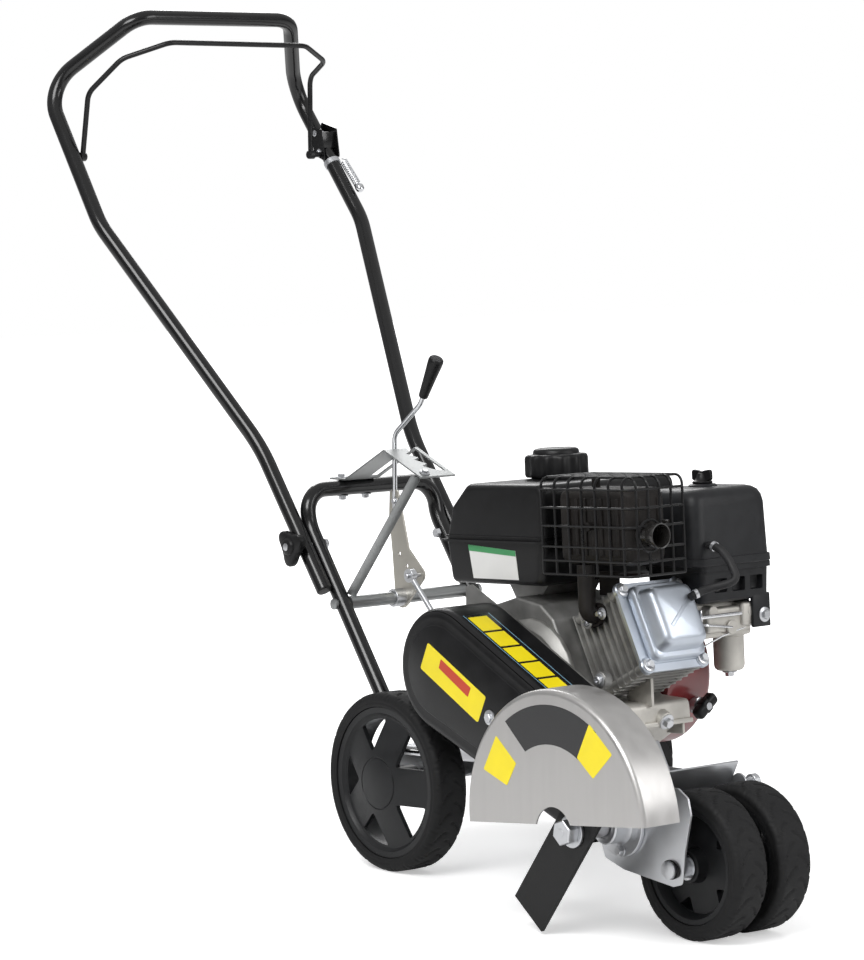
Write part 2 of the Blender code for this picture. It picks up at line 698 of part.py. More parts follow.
def make_depth_lever():
    pivot = (LEVER_PIVOT.x, LEVER_PIVOT.z)
    horn = (pivot[0] + CRANK_ARM.x, pivot[1] + CRANK_ARM.z)
    outline = arc(pivot, 0.015, math.radians(170.0), math.radians(310.0), 8)
    outline += arc(horn, 0.010, math.radians(-40.0), math.radians(60.0), 5)
    outline += [(-0.186, 0.396), (-0.198, 0.440), (-0.208, 0.474), (-0.218, 0.478), (-0.226, 0.472),
                (-0.228, 0.440), (-0.222, 0.390)]
    low = LEVER_Y - 0.0015
    high = LEVER_Y + 0.0015
    lever = side_plate("depth_lever", [outline, circle(pivot, CROSS_TUBE_RADIUS + FIT, 16)], low, high,
                       machine, zinc)
    sleeve = [(CROSS_TUBE_RADIUS + FIT, 0.006), (0.0125, 0.006), (0.0125, -0.018),
              (CROSS_TUBE_RADIUS + FIT, -0.018)]
    boss = turned("boss", sleeve, machine, None, (pivot[0], LEVER_Y, pivot[1]), TURN_LEFT, 16, ring=True)
    pin = rod("pin", (horn[0], high - 0.001, horn[1]), (horn[0], ROD_REAR_Y - 0.009, horn[1]), SHANK_RADIUS,
              machine, None, 10)
    grip_low = Vector((-0.1506, LEVER_Y, 0.606))
    grip_high = Vector((-0.1191, LEVER_Y, 0.660))
    way = (grip_high - grip_low).normalized()
    shank_end = grip_high - way * 0.010
    route = rounded([(-0.2165, LEVER_Y, 0.450), (-0.2145, LEVER_Y, 0.552), grip_low - way * 0.012, shank_end],
                    (0.022, 0.030), 3)
    shank = tube("shank", route, SHANK_RADIUS, machine, None, 1)
    join(lever, [boss, pin, shank])
    smooth(set_origin(lever, (pivot[0], LEVER_Y, pivot[1])))
    grip = rod("lever_grip", grip_low, grip_high, 0.0065, machine, black_plastic, 16, 0.0108)
    bore = rod("bore", grip_low - way * 0.01, shank_end + way * FIT, SHANK_RADIUS + FIT, machine, None, 12)
    smooth(combine(grip, [bore]))


def make_depth_rod():
    start = Vector((LEVER_PIVOT.x + CRANK_ARM.x, ROD_REAR_Y, LEVER_PIVOT.z + CRANK_ARM.z))
    end = Vector((SPINDLE.x + CRANK_ARM.x, ROD_FRONT_Y, SPINDLE.z + CRANK_ARM.z))
    fall = start.z - ROD_LOW
    low_rear = Vector((start.x + fall, ROD_REAR_Y, ROD_LOW))
    low_front = Vector((end.x - (end.z - ROD_LOW) * 1.1, ROD_FRONT_Y, ROD_LOW))
    way = (low_rear - start).normalized()
    back = (low_front - end).normalized()
    route = rounded([start + way * 0.008, low_rear, (0.250, ROD_REAR_Y, ROD_LOW),
                     (0.340, ROD_FRONT_Y, ROD_LOW), low_front, end + back * 0.008],
                    (0.05, 0.06, 0.06, 0.03), 3)
    link = tube("depth_rod", route, ROD_RADIUS, machine, zinc, 1)
    eyes = []
    for spot, bore in ((start, SHANK_RADIUS + 0.0004), (end, BOLT_RADIUS + LOOSE)):
        ring = [(bore, 0.0045), (0.0095, 0.0045), (0.0095, -0.0045), (bore, -0.0045)]
        eyes.append(turned("eye", ring, machine, None, spot, TURN_LEFT, 12, ring=True))
    join(link, eyes)
    smooth(set_origin(link, start))


# Spindle, blade and guard

HOUSING_FACE = -0.2313
HOUSING_NOSE = -0.262


def make_spindle():
    bore = SPINDLE_RADIUS + 0.0005
    step = FRAME_PLATE - FIT
    profile = [(bore, FRAME_PLATE + SHEET + 0.0005), (0.0185, FRAME_PLATE + SHEET + 0.0005), (0.0185, step),
               (HOUSING_STEP, step), (HOUSING_STEP, HOUSING_FACE), (0.040, HOUSING_FACE),
               (0.040, HOUSING_FACE - 0.0052), (0.024, HOUSING_FACE - 0.007), (0.021, HOUSING_NOSE),
               (bore, HOUSING_NOSE)]
    housing = turned("spindle_housing", profile, machine, zinc, SPINDLE, TURN_LEFT, 24, ring=True)
    heads = []
    for number in range(3):
        angle = math.radians(35.0 + 120.0 * number)
        spot = SPINDLE + Vector((math.cos(angle), 0.0, math.sin(angle))) * 0.032
        heads.append(rod("head", spot + Vector((0.0, HOUSING_FACE - 0.004, 0.0)),
                         spot + Vector((0.0, HOUSING_FACE - 0.0095, 0.0)), 0.0055, machine, None, 6))
    smooth(join(housing, heads))
    face = BLADE_INNER - BLADE_THICKNESS
    nose = HOUSING_NOSE - 0.0005
    seat = BLADE_INNER + FIT
    shaft = [(0.0, -0.2065), (SPINDLE_RADIUS, -0.2065), (SPINDLE_RADIUS, nose), (0.0125, nose),
             (0.0125, seat), (SPINDLE_RADIUS, seat), (SPINDLE_RADIUS, face + 0.0005), (0.0, face + 0.0005)]
    turned("blade_spindle", shaft, machine, steel, SPINDLE, TURN_LEFT, 20)
    washer = face - FIT
    bolt = [(0.0, washer), (0.018, washer), (0.018, washer - 0.003), (0.0125, washer - 0.003),
            (0.0125, washer - 0.009), (0.0, washer - 0.009)]
    nut = turned("blade_bolt", bolt, machine, steel, SPINDLE, TURN_LEFT, 20)
    head = rod("head", SPINDLE + Vector((0.0, washer - 0.008, 0.0)), SPINDLE + Vector((0.0, -0.330, 0.0)),
               0.0115, machine, None, 6)
    join(nut, [head])


def pulley_profile(radius, bore):
    half = PULLEY_WIDTH / 2.0
    mouth = BELT_WIDTH / 2.0 + 0.0016
    root = BELT_WIDTH / 2.0 + 0.0002
    return [(bore, half), (radius, half), (radius, mouth), (radius - GROOVE_DEPTH, root),
            (radius - GROOVE_DEPTH, -root), (radius, -mouth), (radius, -half), (bore, -half)]


def make_pulleys():
    for name, centre, radius, shaft in (("blade_pulley", SPINDLE, BLADE_PULLEY_RADIUS, SPINDLE_RADIUS),
                                        ("engine_pulley", CRANK, ENGINE_PULLEY_RADIUS, CRANKSHAFT_RADIUS)):
        spot = Vector((centre.x, PULLEY_CENTRE, centre.z))
        turned(name, pulley_profile(radius, shaft + FIT), machine, steel, spot, TURN_LEFT, 20, ring=True)


def make_belt():
    drop = 0.0005
    crank = (CRANK.x, CRANK.z)
    spindle = (SPINDLE.x, SPINDLE.z)
    outer = belt_line(crank, ENGINE_PULLEY_RADIUS - drop, spindle, BLADE_PULLEY_RADIUS - drop, 14)
    inner = belt_line(crank, ENGINE_PULLEY_RADIUS - drop - BELT_HEIGHT, spindle,
                      BLADE_PULLEY_RADIUS - drop - BELT_HEIGHT, 14)
    side_plate("drive_belt", [outer, inner], PULLEY_CENTRE - BELT_WIDTH / 2.0,
               PULLEY_CENTRE + BELT_WIDTH / 2.0, machine, rubber)


def make_blade():
    along = Vector((-math.sin(BLADE_TILT), 0.0, -math.cos(BLADE_TILT)))
    middle = SPINDLE + Vector((0.0, BLADE_INNER - BLADE_THICKNESS / 2.0, 0.0))
    blade = bar("blade", middle - along * BLADE_LENGTH / 2.0, middle + along * BLADE_LENGTH / 2.0,
                BLADE_WIDTH, BLADE_THICKNESS, (1.0, 0.0, 0.0), machine, black_paint)
    bore = rod("bore", middle + Vector((0.0, 0.02, 0.0)), middle - Vector((0.0, 0.02, 0.0)),
               SPINDLE_RADIUS + FIT, machine, None, 20)
    combine(blade, [bore])
    set_origin(blade, SPINDLE)


def quarter(centre, radius, start, end, steps=3):
    return arc(centre, radius, math.radians(start), math.radians(end), steps)


def make_guard():
    # A shallow turned drum, cut off along a lower edge that tips up at the front.
    inner = GUARD_RADIUS - GUARD_SHEET
    inside = GUARD_FACE + GUARD_SHEET
    soft = GUARD_ROUNDING - GUARD_SHEET
    profile = [(0.0, inside)]
    profile += quarter((inner - soft, inside + soft), soft, -90.0, 0.0)
    profile += [(inner, GUARD_BACK), (GUARD_RADIUS, GUARD_BACK)]
    profile += quarter((GUARD_RADIUS - GUARD_ROUNDING, GUARD_FACE + GUARD_ROUNDING), GUARD_ROUNDING,
                       0.0, -90.0)
    profile += [(0.0, GUARD_FACE)]
    guard = turned("blade_guard", profile, machine, zinc, GUARD_CENTRE, TURN_LEFT, GUARD_FACETS)
    below = box("below", (-0.3, -0.4, -0.4), (0.3, -0.2, 0.0), machine)
    below.location = (GUARD_CENTRE.x, 0.0, GUARD_CENTRE.z)
    below.rotation_euler = (0.0, -GUARD_TILT, 0.0)
    notch_z = GUARD_CENTRE.z - NOTCH_DROP
    notch = rod("notch", (GUARD_CENTRE.x, GUARD_FACE - 0.01, notch_z),
                (GUARD_CENTRE.x, GUARD_FACE + 0.01, notch_z), NOTCH_RADIUS, machine, None, 36)
    smooth(combine(guard, [below, notch]))


def make_guard_bracket():
    low = GUARD_BACK - 0.0055
    high = GUARD_BACK - 0.0023
    centre = (GUARD_CENTRE.x, GUARD_CENTRE.z)
    band = (GUARD_RADIUS - GUARD_SHEET) * math.cos(math.pi / GUARD_FACETS) - FIT
    start = math.radians(108.0)
    end = math.radians(138.0)
    foot = in_machine((DECK_FRONT, 0.0, -0.064))
    outline = arc(centre, band, start, end, 8)
    outline += [(0.412, 0.205), (foot.x - 0.016, foot.z - 0.014), (foot.x + 0.010, foot.z - 0.014),
                (foot.x + 0.014, foot.z + 0.010)]
    bracket = side_plate("guard_bracket", [outline], low, high, machine, zinc)
    curved = arc(centre, band, start, end, 8) + arc(centre, band - SHEET, end, start, 8)
    flange = side_plate("flange", [curved], low - 0.026, high, machine)
    join(bracket, [flange])


# Belt cover

def cover_outline(inset):
    return belt_line((COVER_REAR.x, COVER_REAR.z), COVER_REAR_RADIUS - inset,
                     (COVER_FRONT.x, COVER_FRONT.z), COVER_FRONT_RADIUS - inset, 12)


def rounded_cover(name, inset, face, back, rounding):
    solid = side_plate(name, [cover_outline(inset)], face, back, machine)
    work = bmesh.new()
    work.from_mesh(solid.data)
    top = max(spot.co.z for spot in work.verts)
    rim = [edge for edge in work.edges if all(top - spot.co.z < 0.0001 for spot in edge.verts)
           and len(edge.link_faces) == 2
           and abs(edge.link_faces[0].normal.z) + abs(edge.link_faces[1].normal.z) < 1.5]
    bmesh.ops.bevel(work, geom=rim, offset=rounding, segments=3, affect="EDGES", profile=0.5)
    work.to_mesh(solid.data)
    work.free()
    return solid


def make_belt_cover():
    cover = rounded_cover("belt_cover", 0.0, COVER_FACE, COVER_BACK, COVER_ROUNDING)
    panel = side_plate("panel", [cover_outline(0.022)], COVER_FACE - 0.0012, COVER_FACE + 0.001, machine)
    join(cover, [panel])
    hollow = rounded_cover("hollow", COVER_WALL, COVER_FACE + COVER_WALL, COVER_BACK + 0.004,
                           COVER_ROUNDING - COVER_WALL)
    end = box("end", (COVER_END, -0.30, 0.0), (0.60, -0.10, 0.5), machine)
    combine(cover, [hollow, end])
    cover.data.materials.clear()
    cover.data.materials.append(black_paint)
    smooth(cover)


def make_back_plate():
    back = COVER_BACK + 0.0005
    outline = cover_outline(0.0)
    plate_piece = side_plate("belt_back_plate", [outline, circle((CRANK.x, CRANK.z), 0.030)], back,
                             back + SHEET, machine, cast_alloy)
    ear = side_plate("ear", [[(0.109, 0.330), (0.109, 0.379), (0.120, 0.383), (0.190, 0.352),
                              (0.190, 0.330)]], back, back + SHEET, machine)
    join(plate_piece, [ear])
    end = box("end", (COVER_END, -0.30, 0.0), (0.60, -0.10, 0.5), machine)
    combine(plate_piece, [end])


# Engine

HEAD_START = 0.0700
HEAD_END = 0.168
HEAD_MIDDLE = -0.0355
FIN_COUNT = 8
FIN_PITCH = 0.0125
FIN_HALF = 0.0535
COVER_TOP = 0.208


def on_bore_line(along, across):
    return (along * math.cos(INCLINE) - across * math.sin(INCLINE),
            along * math.sin(INCLINE) + across * math.cos(INCLINE))


def make_crankcase():
    seat = HEAD_START - FIT
    outline = [(-0.105, ENGINE_BASE), (0.108, ENGINE_BASE), (0.126, -0.088), (0.150, -0.044),
               (0.140, -0.026), on_bore_line(seat, -0.058), on_bore_line(seat, 0.058), (0.015, 0.100),
               (-0.030, 0.108), (-0.078, 0.096), (-0.105, 0.060)]
    case = side_plate("crankcase", [outline], -0.1180, 0.0180, chassis, cast_alloy)
    round_edges(case, 0.006)
    smooth(case)


def round_edges(piece, amount, segments=2):
    work = bmesh.new()
    work.from_mesh(piece.data)
    edges = [edge for edge in work.edges
             if len(edge.link_faces) == 2 and edge.calc_face_angle() > math.radians(60.0)]
    bmesh.ops.bevel(work, geom=edges, offset=amount, segments=segments, affect="EDGES", profile=0.5)
    work.to_mesh(piece.data)
    work.free()


def make_crankcase_cover():
    outer = -0.140
    inner = -0.1180 - FIT
    bore = CRANKSHAFT_RADIUS + FIT
    profile = [(bore, inner), (0.082, inner), (0.082, inner - 0.006), (0.070, outer + 0.006),
               (0.034, outer + 0.006), (0.030, outer), (bore, outer)]
    cover = turned("crankcase_cover", profile, chassis, cast_alloy, (0, 0, 0), TURN_LEFT, 24, ring=True)
    studs = []
    for number in range(4):
        angle = math.radians(45.0 + 90.0 * number)
        across = 0.060 * math.cos(angle)
        up = 0.060 * math.sin(angle)
        seat = COVER_BACK + 0.0005 + SHEET + FIT
        studs.append(rod("stud", (across, outer + 0.012, up), (across, seat, up), 0.006, chassis, None, 8))
    smooth(join(cover, studs))


def make_cylinder():
    core = box("cylinder", (HEAD_START, HEAD_MIDDLE - 0.040, -0.042), (HEAD_END, HEAD_MIDDLE + 0.040, 0.042),
               bore_line, cast_alloy)
    fins = []
    for number in range(FIN_COUNT):
        start = HEAD_START + 0.004 + FIN_PITCH * number
        fins.append(box("fin", (start, HEAD_MIDDLE - FIN_HALF, -0.057),
                        (start + 0.0042, HEAD_MIDDLE + FIN_HALF, 0.057), bore_line))
    join(core, fins)


def make_valve_cover():
    start = HEAD_END + FIT
    rim = 0.008
    cover = box("valve_cover", (start, HEAD_MIDDLE - 0.052, -0.061),
                (start + rim, HEAD_MIDDLE + 0.052, 0.061), bore_line, zinc)
    dome = box("dome", (start + 0.001, HEAD_MIDDLE - 0.0455, -0.048),
               (COVER_TOP, HEAD_MIDDLE + 0.0455, 0.052), bore_line, None, 0.012, 2)
    bolts = []
    for across in (-0.0465, 0.0465):
        for up in (-0.054, 0.054):
            spot = Vector((start + rim - 0.002, HEAD_MIDDLE + across, up))
            bolts.append(rod("bolt", spot, spot + Vector((0.007, 0.0, 0.0)), 0.0055, bore_line, None, 6))
    smooth(join(cover, [dome] + bolts))


TANK_LOW = 0.1226
TANK_TOP = 0.2522
TANK_SEAM = 0.1785
CAP_X = -0.078


def make_fuel_tank():
    side = [(-0.160, TANK_LOW), (0.022, TANK_LOW), (0.030, TANK_SEAM), (0.030, TANK_TOP), (-0.1218, TANK_TOP),
            (-0.1543, 0.2228), (-0.168, TANK_SEAM)]
    tank = side_plate("fuel_tank", [side], -0.120, 0.110, chassis, black_plastic)
    round_edges(tank, 0.007)
    seam = box("seam", (-0.1745, -0.1265, TANK_SEAM - 0.0015), (0.0345, 0.1165, TANK_SEAM + 0.0015), chassis)
    neck = rod("neck", (CAP_X, 0.0, TANK_TOP - 0.01), (CAP_X, 0.0, TANK_TOP + 0.0022), 0.030, chassis,
               None, 24)
    smooth(join(tank, [seam, neck]))


def make_tank_mount():
    outline = [(-0.070, 0.092), (-0.028, 0.100), (-0.010, TANK_LOW - FIT), (-0.090, TANK_LOW - FIT)]
    mount = side_plate("tank_mount", [outline], -0.080, 0.010, chassis, cast_alloy)
    below = side_plate("below", [[(-0.12, 0.0), (0.03, 0.0), (0.015, 0.1003), (-0.030, 0.1083),
                                  (-0.078, 0.0963)]], -0.2, 0.1, chassis)
    combine(mount, [below])


CAP_LOBES = 12


def make_fuel_cap():
    outline = []
    steps = CAP_LOBES * 3
    for step in range(steps):
        angle = math.tau * step / steps
        radius = 0.0408 + 0.0015 * math.cos(CAP_LOBES * angle)
        outline.append((radius * math.cos(angle), radius * math.sin(angle)))
    low = TANK_TOP + 0.0025
    fluted = 0.029
    cap = plate("fuel_cap", [outline], fluted, chassis, black_plastic, (CAP_X, 0.0, low + fluted / 2.0),
                UPRIGHT)
    crown = [(0.0, 0.0375), (0.026, 0.0375), (0.030, 0.033), (0.030, 0.02), (0.0, 0.02)]
    knob = turned("knob", crown, chassis, None, (CAP_X, 0.0, low), UPRIGHT, 24)
    smooth(join(cap, [knob]))
    set_origin(cap, (CAP_X, 0.0, low))


CAGE_LOW = Vector((0.041, -0.130, 0.141))
CAGE_HIGH = Vector((0.206, -0.041, 0.262))
CAGE_COUNTS = (6, 4, 4)
CAGE_CELL = Vector([(CAGE_HIGH[axis] - CAGE_LOW[axis]) / CAGE_COUNTS[axis] for axis in range(3)])
WIRE = 0.005


MUFFLER_LOW = Vector((0.055, -0.118, 0.152))
MUFFLER_HIGH = Vector((0.190, -0.052, 0.248))
OUTLET_Y = -0.097
OUTLET_Z = 0.190


def make_muffler():
    can = box("muffler", MUFFLER_LOW, MUFFLER_HIGH, chassis, black_paint, 0.014, 2)
    outlet = rod("outlet", (MUFFLER_HIGH.x - 0.01, OUTLET_Y, OUTLET_Z), (0.226, OUTLET_Y, OUTLET_Z), 0.012,
                 chassis, None, 20, 0.016)
    bore = rod("bore", (0.199, OUTLET_Y, OUTLET_Z), (0.234, OUTLET_Y, OUTLET_Z), 0.009, chassis, None, 16,
               0.014)
    # Studs that carry the wire guard at three of its crossings.
    stand = WIRE / 2.0 + FIT
    inside = 0.015
    right = Vector((CAGE_LOW.x + 3 * CAGE_CELL.x, CAGE_LOW.y + stand, CAGE_LOW.z + 2 * CAGE_CELL.z))
    front = Vector((CAGE_HIGH.x - stand, CAGE_LOW.y + 3 * CAGE_CELL.y, CAGE_LOW.z + 2 * CAGE_CELL.z))
    above = Vector((CAGE_LOW.x + 2 * CAGE_CELL.x, CAGE_LOW.y + 2 * CAGE_CELL.y, CAGE_HIGH.z - stand))
    studs = [rod("stud", (right.x, MUFFLER_LOW.y + inside, right.z), right, 0.006, chassis, None, 10),
             rod("stud", (MUFFLER_HIGH.x - inside, front.y, front.z), front, 0.006, chassis, None, 10),
             rod("stud", (above.x, above.y, MUFFLER_HIGH.z - inside), above, 0.006, chassis, None, 10)]
    join(can, [outlet] + studs)
    smooth(combine(can, [bore]))


def make_muffler_guard():
    # Right side, front and top of the cage as grids that share their edge points, made into wires.
    mesh = bpy.data.meshes.new("muffler_guard")
    work = bmesh.new()
    knots = {}

    def knot(*steps):
        if steps not in knots:
            spot = [CAGE_LOW[axis] + CAGE_CELL[axis] * step for axis, step in enumerate(steps)]
            knots[steps] = work.verts.new(spot)
        return knots[steps]

    last_x, last_y, last_z = CAGE_COUNTS
    for k in range(last_z):
        for i in range(last_x):
            work.faces.new((knot(i, 0, k), knot(i + 1, 0, k), knot(i + 1, 0, k + 1), knot(i, 0, k + 1)))
        for j in range(last_y):
            work.faces.new((knot(last_x, j, k), knot(last_x, j + 1, k), knot(last_x, j + 1, k + 1),
                            knot(last_x, j, k + 1)))
    for i in range(last_x):
        for j in range(last_y):
            work.faces.new((knot(i, j, last_z), knot(i + 1, j, last_z), knot(i + 1, j + 1, last_z),
                            knot(i, j + 1, last_z)))
    work.to_mesh(mesh)
    work.free()
    cage = place("muffler_guard", mesh, chassis, black_paint)
    wires = cage.modifiers.new("wires", "WIREFRAME")
    wires.thickness = WIRE
    wires.use_boundary = True
    wires.use_even_offset = False
    bake(cage)
    hole = rod("hole", (CAGE_HIGH.x - 0.012, OUTLET_Y, OUTLET_Z), (CAGE_HIGH.x + 0.018, OUTLET_Y, OUTLET_Z),
               0.0175, chassis, None, 16)
    combine(cage, [hole])


def make_exhaust_pipe():
    # The pipe leaves a flange on the head's right side and turns up into the muffler's lower face.
    side = HEAD_MIDDLE - FIN_HALF - FIT
    flange_sheet = 0.004
    port_along = 0.119
    port_up = 0.0405
    port = on_bore_line(port_along, port_up)
    y = side - 0.0150
    pipe_radius = 0.0110
    route = rounded([(port[0], side - 0.001, port[1]), (port[0], y, port[1]),
                     (port[0], y, MUFFLER_LOW.z - FIT)], (0.012,), 3)
    pipe = tube("exhaust_pipe", route, pipe_radius, chassis, black_paint, 2)
    flange = box("flange", (port_along - 0.020, side - flange_sheet, port_up - 0.014),
                 (port_along + 0.020, side, port_up + 0.014), bore_line)
    join(pipe, [flange])
    nuts = []
    for across in (-0.0145, 0.0145):
        spot = Vector((port_along + across, side - flange_sheet + 0.001, port_up - 0.008))
        nuts.append(rod("nut", spot, spot - Vector((0.0, 0.006, 0.0)), 0.0045, bore_line, None, 6))
    join(pipe, nuts)


def make_air_cleaner():
    low = (0.060, 0.002, 0.1406)
    high = (0.177, 0.143, 0.2386)
    cover = box("air_cleaner_cover", low, high, chassis, black_plastic, 0.014, 3)
    boss = rod("boss", (0.1185, 0.075, 0.23), (0.1185, 0.075, 0.2420), 0.014, chassis, None, 20)
    smooth(join(cover, [boss]))
    base = box("air_cleaner_base", (0.066, HEAD_MIDDLE + FIN_HALF + 0.001, 0.0940), (0.171, 0.137, 0.1403),
               chassis, black_plastic, 0.006, 2)
    skirt = box("skirt", (0.164, 0.030, 0.0567), (0.170, 0.132, 0.11), chassis)
    smooth(join(base, [skirt]))
    wing = [(0.0, 0.013), (0.006, 0.013), (0.008, 0.006), (0.013, 0.003), (0.013, 0.0), (0.0, 0.0)]
    knob = turned("air_cleaner_knob", wing, chassis, black_plastic, (0.1185, 0.075, 0.2423), UPRIGHT, 20)
    blade = box("wing", (0.1185 - 0.017, 0.0725, 0.2463), (0.1185 + 0.017, 0.0775, 0.2603), chassis, None,
                0.002, 1)
    smooth(join(knob, [blade]))


def make_carburettor():
    body = box("carburettor", (0.104, 0.024, 0.046), (0.146, 0.126, 0.0937), chassis, cast_alloy, 0.004, 1)
    bowl = turned("bowl", [(0.0, 0.048), (0.0205, 0.048), (0.0205, 0.004), (0.016, 0.0), (0.006, -0.002),
                           (0.0, -0.002)], chassis, None, (0.1238, 0.104, 0.0), UPRIGHT, 20)
    neck = box("neck", (0.106, HEAD_MIDDLE + FIN_HALF + FIT, 0.050), (0.142, 0.028, 0.086), chassis)
    smooth(join(body, [bowl, neck]))


def make_hose():
    # From the air cleaner's front down into the valve cover's face.
    seat = COVER_TOP + FIT
    end = on_bore_line(seat, 0.020)
    lead = on_bore_line(seat + 0.008, 0.020)
    bend = on_bore_line(seat + 0.017, 0.022)
    route = [Vector((0.1773, 0.026, 0.168))]
    route += flowing([(0.186, 0.026, 0.168), (0.202, 0.027, 0.160), (0.215, 0.029, 0.143),
                      (0.221, 0.026, 0.125), (bend[0], 0.004, bend[1]), (lead[0], -0.010, lead[1])])
    route.append(Vector((end[0], -0.010, end[1])))
    tube("breather_hose", route, 0.0052, chassis, rubber, 1)


def make_recoil():
    housing = [(0.0, 0.100), (0.088, 0.100), (0.098, 0.090), (0.099, 0.0185), (0.0, 0.0185)]
    turned("blower_housing", housing, chassis, red_paint, (0, 0, 0), TURN_LEFT, 30)
    cap = [(0.0, 0.128), (0.052, 0.128), (0.066, 0.118), (0.080, 0.1003), (0.0, 0.1003)]
    cover = turned("recoil_cover", cap, chassis, black_plastic, (0, 0, 0), TURN_LEFT, 30)
    slots = []
    for number in range(10):
        angle = math.tau * number / 10.0
        ray = Vector((math.cos(angle), 0.0, math.sin(angle)))
        side = Vector((-math.sin(angle), 0.0, math.cos(angle)))
        face = Vector((0.0, 0.128, 0.0))
        slots.append(bar("slot", ray * 0.022 + face, ray * 0.050 + face, 0.007, 0.008, side, chassis))
    smooth(combine(cover, slots))


def make_starter_grip():
    spot = Vector((0.1035, 0.070, -0.043))
    grip = box("starter_grip", spot + Vector((0.0, -0.016, -0.009)), spot + Vector((0.016, 0.016, 0.009)),
               chassis, black_plastic, 0.004, 2)
    smooth(grip)
    set_origin(grip, spot)


def make_rope_guide():
    guide = [(0.0, 0.0), (0.011, 0.0), (0.011, -0.014), (0.0, -0.014)]
    spot = (0.1032, 0.070, -0.043)
    eye = turned("rope_guide", guide, chassis, steel, spot, (0.0, math.radians(90.0), 0.0), 16)
    housing = rod("housing", (0.0, 0.0, 0.0), (0.0, 0.0995, 0.0), 0.099 + FIT, chassis, None, 30)
    smooth(combine(eye, [housing]))


def make_crankshaft():
    profile = [(0.0, -0.1187), (CRANKSHAFT_RADIUS, -0.1187), (CRANKSHAFT_RADIUS, -0.2225),
               (0.0, -0.2225)]
    shaft = turned("crankshaft", profile, machine, steel, CRANK, TURN_LEFT, 20)
    washer = [(0.0, -0.2222), (0.014, -0.2222), (0.014, -0.2245), (0.0, -0.2245)]
    cap = turned("washer", washer, machine, None, CRANK, TURN_LEFT, 20)
    join(shaft, [cap])


def make_engine():
    make_crankcase()
    make_crankcase_cover()
    make_cylinder()
    make_valve_cover()
    make_fuel_tank()
    make_tank_mount()
    make_fuel_cap()
    make_muffler()
    make_muffler_guard()
    make_exhaust_pipe()
    make_air_cleaner()
    make_carburettor()
    make_hose()
    make_recoil()
    make_starter_grip()
    make_rope_guide()
    make_crankshaft()


# Handle

def make_handle():
    heading = (KNOB_AXIS - HANDLE_BEND).normalized()
    low = KNOB_AXIS + heading * HANDLE_LOW_END
    side = Vector((0.0, HANDLE_LOW_HALF, 0.0))
    left = [low + side, HANDLE_BEND + side, HANDLE_WIDE, HANDLE_CORNER, HANDLE_TOP]
    route = rounded(left + mirrored(left)[::-1], (0.25, 0.12, 0.055, 0.045, 0.045, 0.055, 0.12, 0.25), 4)
    handle = tube("handle_tube", route, TUBE_RADIUS, machine, black_paint, 2)
    drill = rod("drill", KNOB_AXIS - Vector((0, 0.2, 0)), KNOB_AXIS + Vector((0, 0.2, 0)), BOLT_RADIUS + FIT,
                machine, None, 12)
    smooth(combine(handle, [drill]), 50.0)
    set_origin(handle, KNOB_AXIS)


def make_knobs():
    # A three-armed plastic knob on a bolt that passes through both tubes, with a nut inside the hoop.
    outline = []
    for step in range(24):
        angle = math.tau * step / 24.0 + math.radians(35.0)
        reach = 0.0175 + 0.0105 * (0.5 + 0.5 * math.cos(3.0 * angle)) ** 1.5
        outline.append((reach * math.cos(angle + 0.4), reach * math.sin(angle + 0.4)))
    for side, turn in (("right", TURN_RIGHT), ("left", TURN_LEFT)):
        outside = HANDLE_LOW_HALF + TUBE_RADIUS + FIT
        inside = HOOP_HALF - TUBE_RADIUS - FIT
        knob = plate("knob_" + side, [outline], 0.012, machine, black_plastic, KNOB_AXIS, turn)
        knob.data.transform(Matrix.Translation((0.0, 0.0, outside + 0.010)))
        stem = [(0.0, outside + 0.021), (0.010, outside + 0.021), (0.013, outside + 0.015), (0.013, outside),
                (BOLT_RADIUS, outside), (BOLT_RADIUS, inside), (0.0072, inside), (0.0072, inside - 0.006),
                (0.0, inside - 0.006)]
        shank = turned("stem", stem, machine, None, KNOB_AXIS, turn, 12)
        smooth(join(knob, [shank]))


def make_bail():
    # The bail's legs hang just inside the handle's legs, at the height of its pivots.
    tube_at = (BAIL_PIVOT.z - HANDLE_WIDE.z) / (HANDLE_CORNER.z - HANDLE_WIDE.z)
    tube_y = HANDLE_WIDE.y + (HANDLE_CORNER.y - HANDLE_WIDE.y) * tube_at
    seat = tube_y - TUBE_RADIUS - 2.0 * FIT
    half = seat - BAIL_EYE_LENGTH
    left = [Vector((BAIL_PIVOT.x, half, BAIL_PIVOT.z)), Vector((-0.650, half, 1.030)),
            Vector((-0.615, half * 0.833, 1.078)), Vector((-0.575, half * 0.568, 1.100))]
    route = rounded(left + mirrored(left)[::-1], (0.03, 0.04, 0.03, 0.03, 0.04, 0.03), 3)
    bail = tube("bail", route, BAIL_RADIUS, machine, black_paint, 1)
    eyes = []
    for side in (-1.0, 1.0):
        eyes.append(rod("eye", (BAIL_PIVOT.x, side * (half - BAIL_RADIUS), BAIL_PIVOT.z),
                        (BAIL_PIVOT.x, side * seat, BAIL_PIVOT.z), 0.0065, machine, None, 12))
    smooth(join(bail, eyes), 50.0)
    set_origin(bail, BAIL_PIVOT)


def centre_on_origin():
    bpy.context.view_layer.update()
    spots = [piece.matrix_world @ corner.co for piece in parts.objects for corner in piece.data.vertices]
    low = Vector([min(spot[axis] for spot in spots) for axis in range(3)])
    high = Vector([max(spot[axis] for spot in spots) for axis in range(3)])
    machine.location = (-(low.x + high.x) / 2.0, -(low.y + high.y) / 2.0, -low.z)
    bpy.context.view_layer.update()


